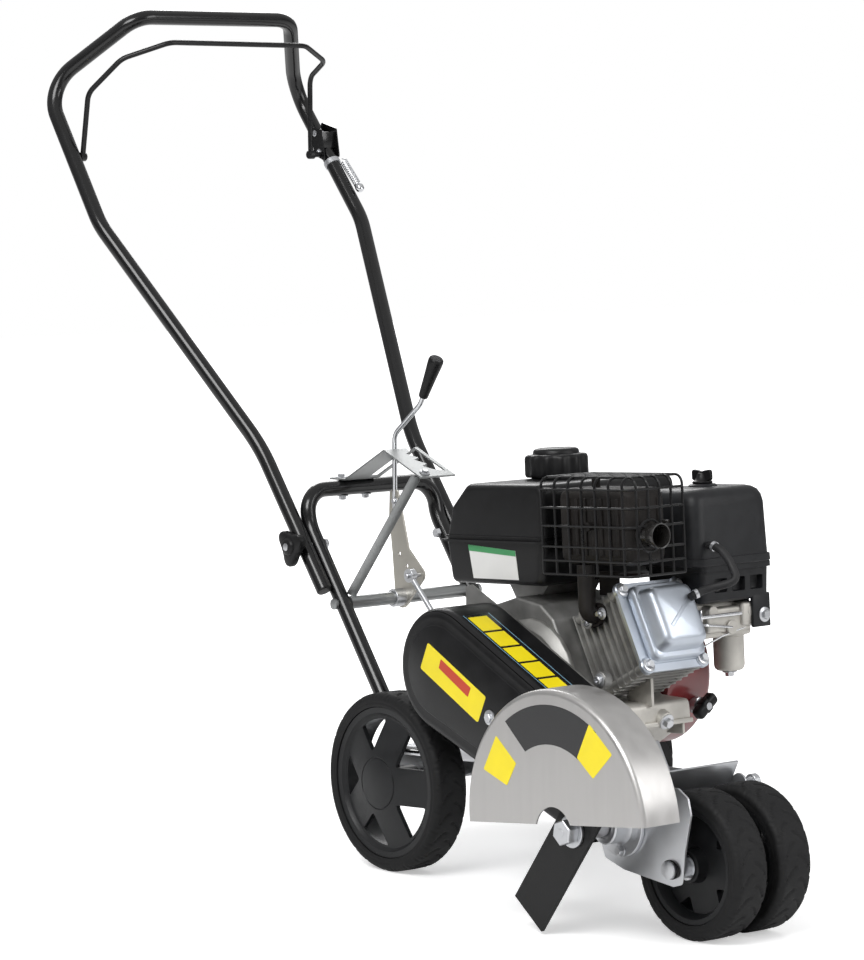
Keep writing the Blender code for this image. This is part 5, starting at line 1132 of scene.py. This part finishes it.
def makeTank():
    # Blow-moulded shell: the side outline goes across, drawn in towards its middle at both ends.
    low, top, seam, right, left = (tank[part] for part in ("low", "top", "seam", "right", "left"))
    corners = [(-0.16, low), (0.022, low), (0.03, seam), (0.03, top), (-0.1218, top), (-0.1543, 0.2228),
               (-0.168, seam)]
    middle = sum((Vector(corner) for corner in corners), Vector((0.0, 0.0))) / len(corners)
    turns = [math.radians(15.0 * step) for step in range(7)]
    order = [(tank["rounding"] * (1.0 - math.sin(turn)), right + tank["rounding"] * (1.0 - math.cos(turn)))
             for turn in turns]
    order += [(amount, right + left - place) for amount, place in order[::-1]]
    bends = [0.01, 0.01, 0.0, 0.014, 0.02, 0.016, 0.0]
    outline = [Vector(point) - middle for point in roundedOutline(corners, bends, 5)]
    work = bmesh.new()
    rings = []
    for amount, place in order:
        spots = [middle + away * ((away.length - amount) / away.length) for away in outline]
        rings.append(newRow(work, [(spot.x, place, spot.y) for spot in spots]))
    loftRows(work, rings)
    # Welded seam lip round the middle, a crease above it and the neck of the filler
    lip = softOutline((-0.1745, -0.1265), (0.0345, 0.1165), 0.014)
    sheetLoops(work, [lip], seam - 0.0015, seam + 0.0015, "xy")
    crease = softOutline((-0.1705, -0.1222), (0.0312, 0.1122), 0.013)
    sheetLoops(work, [crease], seam + 0.0055, seam + 0.0068, "xy")
    turnProfile(work, [(0.0, -0.01), (0.036, -0.01), (0.034, 0.001), (0.03, 0.0022), (0.0, 0.0022)],
                (tank["cap"].x, tank["cap"].y, top), toSky, 48)
    newPiece("fuelTank", work, "tankPlastic", ["fuel_tank"], base=chassis, bend=40.0)
    field = [(-0.1203, 0.1735), (-0.0261, 0.1672), (-0.0213, 0.13), (-0.1118, 0.13)]
    header = [(-0.1203, 0.1735), (-0.0261, 0.1672), (-0.0255, 0.16), (-0.119, 0.1655)]
    addPanel("tankPanel", "panelWhite", field, right - 0.0003, right + 0.0002, base=chassis)
    addPanel("tankPanelHeader", "panelGreen", header, right - 0.0005, right - 0.0003, base=chassis)


def makeFuelCap():
    # Height, radius and how far the twelve flutes show
    levels = ((0.0, 0.0392, 0.3), (0.0012, 0.0402, 0.7), (0.004, 0.0408, 1.0), (0.024, 0.0406, 1.0),
              (0.0275, 0.0398, 0.8), (0.029, 0.038, 0.3), (0.0295, 0.033, 0.0), (0.03, 0.0305, 0.0),
              (0.0335, 0.03, 0.0), (0.0355, 0.0288, 0.0), (0.0368, 0.0262, 0.0), (0.0375, 0.022, 0.0))
    turns = [math.tau * step / 144 for step in range(144)]
    work = bmesh.new()
    rows = []
    for height, reach, flute in levels:
        points = []
        for turn in turns:
            radius = reach + 0.0015 * flute * math.cos(12.0 * turn)
            points.append(tank["cap"] + Vector((radius * math.cos(turn), radius * math.sin(turn), height)))
        rows.append(newRow(work, points))
    loftRows(work, rows)
    newPiece("fuelCap", work, "blackPlastic", ["fuel_cap"], "fuel_cap", base=chassis, bend=50.0)


def makeMuffler():
    low, high = mufflerBox["low"], mufflerBox["high"]
    work = bmesh.new()
    roundedBox(work, low, high, 0.014, 5)
    for number in range(7):
        across = low.x + 0.022 + 0.0152 * number
        roundedBox(work, (across, low.y - 0.0025, low.z + 0.012),
                   (across + 0.006, low.y + 0.006, high.z - 0.012), 0.002, 2)
    for number in range(3):
        across = low.y + 0.016 + 0.0155 * number
        roundedBox(work, (high.x - 0.006, across, low.z + 0.052),
                   (high.x + 0.0022, across + 0.005, high.z - 0.012), 0.0018, 2)
    # Rolled seam between the two shells
    seam = softOutline((low.x - 0.002, low.y - 0.002), (high.x + 0.002, high.y + 0.002), 0.015)
    middle = (low.z + high.z) / 2.0
    sheetLoops(work, [seam], middle - 0.0018, middle + 0.0018, "xy")
    outlet = bmesh.new()
    turnProfile(outlet, [(0.0105, 0.008), (0.012, -0.01), (0.0123, 0.01), (0.015, 0.022), (0.0157, 0.031),
                         (0.016, 0.0352), (0.0156, 0.036), (0.0142, 0.0358), (0.0138, 0.031),
                         (0.0108, 0.012)],
                (high.x, *mufflerBox["outlet"]), toFront, 48, ring=True)
    newPiece("mufflerOutlet", outlet, "pipeBlack", base=chassis)
    # Stays between the muffler and its cage
    stand = cage["wire"] + 0.0002
    level = cage["levels"][3]
    for start, end in (((0.1235, low.y + 0.015, level), (0.1235, cage["low"].y + stand, level)),
                       ((high.x - 0.015, -0.0633, level), (cage["high"].x - stand, -0.0633, level)),
                       ((0.096, -0.0855, high.z - 0.015), (0.096, -0.0855, cage["high"].z - stand))):
        sweepTube(work, [start, end], 0.0055, 20)
    newPiece("mufflerBody", work, "sootBlack", ["muffler"], base=chassis, bend=40.0)


def makeCage():
    low, high, wire, bend = cage["low"], cage["high"], cage["wire"], cage["bend"]
    outY, outZ = mufflerBox["outlet"]
    routes = [roundedRoute([(low.x, low.y, height), (high.x, low.y, height), (high.x, high.y, height)],
                           (0.01,), 8)
              for height in cage["levels"]]
    for number in range(cage["side"]):
        across = low.x + (high.x - bend - low.x) * number / (cage["side"] - 1)
        routes.append(roundedRoute([(across, low.y, low.z), (across, low.y, high.z),
                                    (across, high.y, high.z)],
                                   (bend,), 8))
    for number in range(cage["front"]):
        side = low.y + bend + (high.y - low.y - bend) * number / (cage["front"] - 1.0)
        foot = low.z
        if abs(side - outY) < 0.012:
            # This wire stops above and below the outlet.
            foot = outZ + 0.02
            routes.append([(high.x, side, low.z), (high.x, side, outZ - 0.02)])
        routes.append(roundedRoute([(high.x, side, foot), (high.x, side, high.z), (low.x, side, high.z)],
                                   (bend,), 8))
    work = bmesh.new()
    for route in routes:
        sweepTube(work, route, wire, 10)
    turns = [math.tau * step / 40.0 for step in range(40)]
    sweepTube(work, [(high.x + 0.0002, outY + 0.0195 * math.cos(turn), outZ + 0.0195 * math.sin(turn))
                     for turn in turns], wire, 10, closed=True)
    newPiece("mufflerCage", work, "wireBlack", ["muffler_guard"], base=chassis)


def makeExhaust():
    side = head["middle"] - head["finHalf"] - 0.0003
    along, up = exhaust["along"], exhaust["up"]
    port = onBoreLine(along, up)
    depth = side - 0.015
    pipe = bmesh.new()
    sweepTube(pipe, roundedRoute([(port[0], side - 0.001, port[1]), (port[0], depth, port[1]),
                                  (port[0], depth, mufflerBox["low"].z - 0.0003)], (0.012,), 10),
              exhaust["radius"], 32)
    newPiece("exhaustPipe", pipe, "sootBlack", ["exhaust_pipe"], base=chassis)
    turns = [math.tau * step / 48.0 for step in range(48)]
    flange = bmesh.new()
    sheetLoops(flange, [[(along + 0.0205 * math.cos(turn), up + 0.0142 * math.sin(turn)) for turn in turns]],
               side - 0.0042, side)
    newPiece("exhaustFlange", flange, "sootBlack", base=boreLine)
    nuts = bmesh.new()
    for across in (-0.015, 0.015):
        spot = (along + across, side - 0.0042, up - 0.004)
        addBolt(nuts, spot, toRight, 0.005, 0.0045)
        sweepTube(nuts, [spot, (spot[0], spot[1] - 0.0095, spot[2])], 0.0026, 14)
    shield = bmesh.new()
    roundedBox(shield, (0.03, -0.03, 0.105), (0.068, -0.027, 0.136), 0.001, 2)
    newPiece("heatShield", shield, "sootBlack", base=chassis)
    newPiece("exhaustNuts", nuts, "zincPlate", base=boreLine)


def makeAirCleaner():
    low, high, place = cleaner["low"], cleaner["high"], cleaner["knob"]
    work = bmesh.new()
    rows = []
    for up, inset in ((low.z, 0.0015), (low.z + 0.0015, 0.0), (low.z + 0.01, 0.0004),
                      (low.z + 0.0105, 0.0024), (low.z + 0.012, 0.0026), (high.z - 0.022, 0.0046),
                      (high.z - 0.013, 0.0062),
                      (high.z - 0.006, 0.0095), (high.z - 0.002, 0.0145), (high.z - 0.0003, 0.02),
                      (high.z, 0.026)):
        loop = softOutline((low.x + inset, low.y + inset), (high.x - inset, high.y - inset), 0.02)
        rows.append(newRow(work, [(across, side, up) for across, side in loop]))
    loftRows(work, rows)
    turnProfile(work, [(0.0, -0.006), (0.019, -0.006), (0.0185, 0.0012), (0.0165, 0.003), (0.014, 0.0034),
                       (0.0, 0.0034)], (place.x, place.y, high.z), toSky, 40)
    newPiece("cleanerCover", work, "cleanerPlastic", ["air_cleaner_cover"], base=chassis,
             bend=38.0)
    base = bmesh.new()
    rows = []
    for up, inset in ((0.094, 0.004), (0.0965, 0.0012), (0.133, 0.0), (0.1335, -0.003), (0.1403, -0.003)):
        loop = softOutline((0.066 + inset, 0.019 + inset * 0.3), (0.171 - inset, 0.137 - inset), 0.01)
        rows.append(newRow(base, [(across, side, up) for across, side in loop]))
    loftRows(base, rows)
    # Openings of the front wall, and the skirt below them
    tools = []
    for start in (0.04, 0.071, 0.102):
        tool = bmesh.new()
        roundedBox(tool, (0.16, start, 0.106), (0.18, start + 0.022, 0.124), 0.002, 2)
        tools.append(tool)
    cutBy(base, tools)
    addBoxes(base, ((0.164, 0.106, 0.0567), (0.17, 0.1365, 0.1), 0.0022, 2),
             ((0.14, 0.133, 0.0567), (0.17, 0.1365, 0.1), 0.0015, 2))
    newPiece("cleanerBase", base, "cleanerPlastic", ["air_cleaner_base"], base=chassis)
    newBolts("cleanerBolts", [((0.17, 0.125, 0.072), toFront, 0.0062, 0.005)], base=chassis)
    knob = bmesh.new()
    turnProfile(knob, [(0.0, 0.0), (0.0126, 0.0), (0.013, 0.0006), (0.013, 0.0026), (0.01, 0.0042),
                       (0.0082, 0.006), (0.0066, 0.011), (0.0055, 0.0135), (0.0, 0.014)], place, toSky, 40)
    wing = [(-0.0172, 0.0045), (-0.0172, 0.015), (-0.015, 0.0178), (-0.006, 0.0166), (0.0, 0.015),
            (0.006, 0.0166), (0.015, 0.0178), (0.0172, 0.015), (0.0172, 0.0045), (0.009, 0.0028),
            (-0.009, 0.0028)]
    loop = [(place.x + across, place.z + up) for across, up in roundedOutline(wing, 0.003, 3)]
    sheetLoops(knob, [loop], place.y - 0.0024, place.y + 0.0024)
    newPiece("cleanerKnob", knob, "blackPlastic", ["air_cleaner_knob"], "cleaner_knob", base=chassis,
             soften=0.0008)


def makeCarburettor():
    work = bmesh.new()
    addBoxes(work, ((0.104, 0.024, 0.046), (0.146, 0.126, 0.0937), 0.005, 3),
             ((0.106, 0.0183, 0.05), (0.142, 0.028, 0.086), 0.004, 3),
             ((0.14, 0.036, 0.054), (0.16, 0.112, 0.086), 0.004, 3),
             ((0.14, 0.092, 0.06), (0.165, 0.118, 0.09), 0.004, 3))
    turnProfile(work, [(0.0, 0.05), (0.0215, 0.05), (0.0215, 0.0455), (0.02, 0.0445), (0.02, 0.008),
                       (0.019, 0.0035), (0.016, 0.0008), (0.0075, -0.0006), (0.0, -0.001)],
                (0.1238, 0.104, 0.0), toSky, 48)
    for across, up, radius, reach in ((0.045, 0.082, 0.0075, 0.01), (0.075, 0.06, 0.009, 0.012),
                                      (0.108, 0.078, 0.007, 0.014)):
        turnProfile(work, [(0.0, -0.006), (radius, -0.006), (radius, reach - 0.001), (radius - 0.001, reach),
                           (0.0, reach)], (0.152, across, up), toFront, 28)
    newPiece("carburettorBody", work, "caseAlloy", ["carburettor"], base=chassis, bend=38.0)
    fittings = bmesh.new()
    addBolt(fittings, (0.1238, 0.104, -0.0008), (0.0, 0.0, -1.0), 0.0062, 0.005)
    addBolt(fittings, (0.156, 0.045, 0.082), toFront, 0.0042, 0.0035)
    addBolt(fittings, (0.16, 0.108, 0.078), toFront, 0.0038, 0.0035)
    # The cross rod with its tab, and two thin links
    sweepTube(fittings, [(0.164, 0.02, 0.0765), (0.164, 0.09, 0.0765)], 0.0026, 16)
    roundedBox(fittings, (0.159, 0.018, 0.07), (0.167, 0.021, 0.086), 0.001, 2)
    sweepTube(fittings, roundedRoute([(0.16, 0.075, 0.06), (0.164, 0.075, 0.06), (0.164, 0.03, 0.066),
                                      (0.15, 0.01, 0.07)], (0.003, 0.006), 6), 0.0016, 10)
    sweepTube(fittings, roundedRoute([(0.15, 0.125, 0.062), (0.158, 0.125, 0.062), (0.16, 0.06, 0.05),
                                      (0.149, 0.026, 0.034)], (0.004, 0.008), 6), 0.0012, 10)
    newPiece("carburettorFittings", fittings, "chrome", base=chassis)


def makeHose():
    seat = head["top"] + 0.0003
    end, lead, bend = onBoreLine(seat, 0.02), onBoreLine(seat + 0.008, 0.02), onBoreLine(seat + 0.017, 0.022)
    route = [Vector((0.1773, 0.026, 0.168))]
    route += flowingRoute([(0.186, 0.026, 0.168), (0.202, 0.027, 0.16), (0.215, 0.029, 0.143),
                           (0.221, 0.026, 0.125), (bend[0], 0.004, bend[1]), (lead[0], -0.01, lead[1])])
    route.append(Vector((end[0], -0.01, end[1])))
    work = bmesh.new()
    sweepTube(work, route, 0.0052, 24)
    newPiece("breatherHose", work, "beltRubber", ["breather_hose"], base=chassis)
    clips = bmesh.new()
    for start, ahead in ((route[1], route[2]), (route[-2], route[-3])):
        heading = (ahead - start).normalized()
        turnProfile(clips, [(0.0053, -0.0022), (0.0062, -0.0022), (0.0062, 0.0022), (0.0053, 0.0022)],
                    start + heading * 0.002, heading, 24, ring=True)
    newPiece("hoseClips", clips, "zincPlate", base=chassis)


def makeBlower():
    work = bmesh.new()
    turnProfile(work, [(0.0, 0.0185), (0.096, 0.0185), (0.099, 0.02), (0.099, 0.03), (0.0985, 0.0315),
                       (0.098, 0.09), (0.0955, 0.0955), (0.088, 0.1), (0.0, 0.1)], (0.0, 0.0, 0.0), toLeft,
                96)
    for angle in (math.radians(20.0 + 90.0 * number) for number in range(4)):
        turnProfile(work, [(0.0, 0.0), (0.0075, 0.0), (0.0075, 0.01), (0.0, 0.01)],
                    (math.cos(angle) * 0.093, 0.02, math.sin(angle) * 0.093), toLeft, 20)
    newPiece("blowerHousing", work, "darkRed", ["blower_housing"], base=chassis)
    recoil = bmesh.new()
    turnProfile(recoil, [(0.0, 0.1003), (0.08, 0.1003), (0.079, 0.104), (0.0665, 0.1165), (0.062, 0.121),
                         (0.053, 0.127), (0.05, 0.128), (0.0, 0.128)], (0.0, 0.0, 0.0), toLeft, 80)
    tools = []
    for angle in (math.tau * number / 20.0 for number in range(20)):
        tool = bmesh.new()
        roundedBox(tool, (0.022, 0.124, -0.0022), (0.05, 0.132, 0.0022))
        bmesh.ops.transform(tool, matrix=Matrix.Rotation(angle, 4, "Y"), verts=tool.verts)
        tools.append(tool)
    cutBy(recoil, tools)
    newPiece("recoilCover", recoil, "blackPlastic", ["recoil_cover"], base=chassis)


def makeStarter():
    spot = Vector((0.1035, 0.07, -0.043))
    slant = Matrix.Rotation(math.radians(38.0), 4, "X")
    work = bmesh.new()
    for low, high, radius, segments in (((0.0, -0.0195, -0.008), (0.016, 0.0195, 0.008), 0.0055, 5),
                                        ((0.0005, -0.006, -0.009), (0.015, 0.006, 0.009), 0.003, 3)):
        roundedBox(work, spot + Vector(low), spot + Vector(high), radius, segments, slant)
    newPiece("starterGrip", work, "blackPlastic", ["starter_grip"], "starter_grip", base=chassis)
    tab = bmesh.new()
    turnProfile(tab, [(0.0, 0.0), (0.0048, 0.0), (0.0044, 0.0005), (0.0, 0.0006)],
                spot + Vector((0.016, 0.0, 0.0)), toFront, 24)
    newPiece("starterTab", tab, "zincPlate", body="starter_grip", slot="black_plastic", base=chassis)


for makePart in (makeCrankcase, makeCylinder, makeValveCover, makeTank, makeFuelCap, makeMuffler, makeCage,
                 makeExhaust, makeAirCleaner, makeCarburettor, makeHose, makeBlower, makeStarter):
    makePart()
print("engine is assembled")

# Gate, lever and rod of the depth control
gate = {"near": -0.055, "far": 0.005, "sheet": 0.0025, "seat": 0.4881, "apex": (-0.18, 0.533),
        "front": (-0.099, 0.5)}
lever = {"pivot": (-0.202, 0.328), "horn": (-0.162, 0.362), "y": -0.008,
         "gripLow": Vector((-0.1506, -0.008, 0.606)), "gripHigh": Vector((-0.1191, -0.008, 0.66))}
rod = {"start": Vector((-0.162, -0.025, 0.362)), "end": Vector((0.538, -0.054, 0.1683)), "low": 0.1,
       "eye": 0.0085}


def makeGate():
    line = [(-0.302, gate["seat"]), (-0.268, gate["seat"]), gate["apex"], gate["front"]]
    upper = [(across, up + gate["sheet"]) for across, up in line]
    work = bmesh.new()
    sheetLoops(work, [line + upper[::-1]], gate["near"], gate["far"])
    edge = gate["far"] - 0.007
    slot = [(-0.262, -0.016), (-0.262, edge), (-0.112, edge), (-0.118, -0.018)]
    for tooth in (-0.128, -0.146, -0.164):
        slot += [(tooth, -0.028), (tooth - 0.006, -0.016)]
    opening = bmesh.new()
    sheetLoops(opening, [slot + [(-0.19, -0.016)]], 0.47, 0.56, "xy")
    cutBy(work, [opening], merge=False)
    newPiece("gatePlate", work, "gateZinc", ["gate_plate"], bend=20.0, soften=0.0004)
    top = gate["seat"] + gate["sheet"]
    front = Vector((gate["front"][0], 0.0, gate["front"][1]))
    slope = (front - Vector((gate["apex"][0], 0.0, gate["apex"][1]))).normalized()
    normal = Vector((-slope.z, 0.0, slope.x))
    spot = front + Vector((0.0, -0.04, 0.0)) - slope * 0.012 + normal * gate["sheet"]
    newBolts("gateBolts", [((-0.29, -0.044, top), toSky, 0.005, 0.0034),
                           ((-0.29, -0.01, top), toSky, 0.005, 0.0034), (spot, normal, 0.0046, 0.003)])


def makeLever():
    pivot, horn, y = lever["pivot"], lever["horn"], lever["y"]
    outline = arcPoints(pivot, 0.015, 170.0, 310.0, 16) + arcPoints(horn, 0.01, -40.0, 60.0, 10)
    outline += [(-0.186, 0.396), (-0.198, 0.44), (-0.208, 0.474), (-0.218, 0.478), (-0.226, 0.472),
                (-0.228, 0.44), (-0.222, 0.39)]
    work = bmesh.new()
    sheetLoops(work, [outline, ringPoints(pivot, 0.0093, 32), ringPoints((-0.19, 0.372), 0.0028, 16),
                      ringPoints((-0.206, 0.388), 0.0028, 16)], y - 0.0015, y + 0.0015)
    newPiece("leverPlate", work, "leverZinc", ["depth_lever"], "depth_lever", bend=30.0, soften=0.0004)
    hardware = bmesh.new()
    turnProfile(hardware, [(0.0093, 0.006), (0.012, 0.006), (0.0125, 0.0055), (0.0125, -0.0175),
                           (0.012, -0.018), (0.0093, -0.018)], (pivot[0], y, pivot[1]), toLeft, 40, ring=True)
    turnProfile(hardware, [(0.0, 0.0005), (0.0035, 0.0005), (0.0035, -0.025), (0.0028, -0.0258),
                           (0.0, -0.026)], (horn[0], y, horn[1]), toLeft, 24)
    addBolt(hardware, (-0.214, y - 0.0015, 0.46), toRight, 0.004, 0.003)
    newPiece("leverHardware", hardware, "zincPlate", body="depth_lever")
    low, high = lever["gripLow"], lever["gripHigh"]
    way = (high - low).normalized()
    shank = bmesh.new()
    sweepTube(shank, roundedRoute([(-0.2165, y, 0.45), (-0.2145, y, 0.552), low - way * 0.012,
                                   high - way * 0.01], (0.022, 0.03), 12), 0.0035, 20)
    newPiece("leverShank", shank, "chrome", body="depth_lever")
    size = (high - low).length
    grip = bmesh.new()
    turnProfile(grip, [(0.0036, 0.0), (0.0058, 0.0), (0.0065, 0.001), (0.0068, 0.004), (0.0086, size * 0.5),
                       (0.0104, size - 0.01), (0.0106, size - 0.005), (0.01, size - 0.0018),
                       (0.0086, size - 0.0003), (0.0, size)], low, way, 36)
    newPiece("leverGrip", grip, "blackPlastic", ["lever_grip"], "depth_lever")


def makeRod():
    start, end, low, eye = rod["start"], rod["end"], rod["low"], rod["eye"]
    lowRear = Vector((start.x + start.z - low, start.y, low))
    lowFront = Vector((end.x - (end.z - low) * 1.1, end.y, low))
    way = (lowRear - start).normalized()
    back = (lowFront - end).normalized()
    work = bmesh.new()
    sweepTube(work, roundedRoute([start + way * eye, lowRear, (0.25, start.y, low), (0.34, end.y, low),
                                  lowFront, end + back * eye], (0.05, 0.06, 0.06, 0.03), 12), 0.004, 20)
    for spot, bore in ((start, 0.0039), (end, 0.0066)):
        turnProfile(work, [(bore, 0.0045), (0.0092, 0.0045), (0.0095, 0.0042), (0.0095, -0.0042),
                           (0.0092, -0.0045), (bore, -0.0045)], spot, toLeft, 32, ring=True)
    newPiece("depthRod", work, "zincPlate", ["depth_rod"], "depth_rod")


def makeBrace():
    # Flat strip from the cross tube's right end up to the front of the gate
    low = Vector((-0.2035, -0.0965, 0.3375))
    high = Vector((-0.1195, -0.047, 0.501))
    way = (high - low).normalized()
    wide = Vector((0.62, 0.79, 0.0)).normalized()
    wide = (wide - way * wide.dot(way)).normalized()
    turn = Matrix((wide, way.cross(wide), way)).transposed().to_4x4()
    work = bmesh.new()
    roundedBox(work, (-0.00675, -0.0015, 0.0), (0.00675, 0.0015, (high - low).length), 0.0006, 2)
    bmesh.ops.transform(work, matrix=Matrix.Translation(low) @ turn, verts=work.verts)
    newPiece("gateBrace", work, "gateZinc", ["gate_brace"])
    down = (0.0, 0.0, -1.0)
    newBolts("hoopNuts", [((-0.285, side, 0.4665), down, 0.0052, 0.0048) for side in (-0.046, -0.006)])


makeGate()
makeLever()
makeRod()
makeBrace()

# Solids that stay as imported, with the width of their softened edges
keptSolids = {"deck_frame": ("zincPlate", 0.0008), "belt_back_plate": ("darkAlloy", 0.0006),
              "crankcase_cover": ("castAlloy", 0.0010), "cross_tube": ("gateZinc", 0.0006),
              "rear_axle": ("plainSteel", 0.0005), "front_axle": ("zincPlate", 0.0005),
              "pivot_bolt": ("zincPlate", 0.0005), "carriage_left_plate": ("zincPlate", 0.0005),
              "guard_bracket": ("zincPlate", 0.0005), "tank_mount": ("darkAlloy", 0.0006),
              "rope_guide": ("zincPlate", 0.0003), "crankshaft": ("plainSteel", 0.0004),
              "blade_pulley": ("plainSteel", 0.0004), "engine_pulley": ("plainSteel", 0.0004),
              "drive_belt": ("beltRubber", None)}
for node, (finish, soften) in keptSolids.items():
    smoothCad(node, finish, soften)
print("gate, lever and plain solids are finished")

print("all pieces are in place")
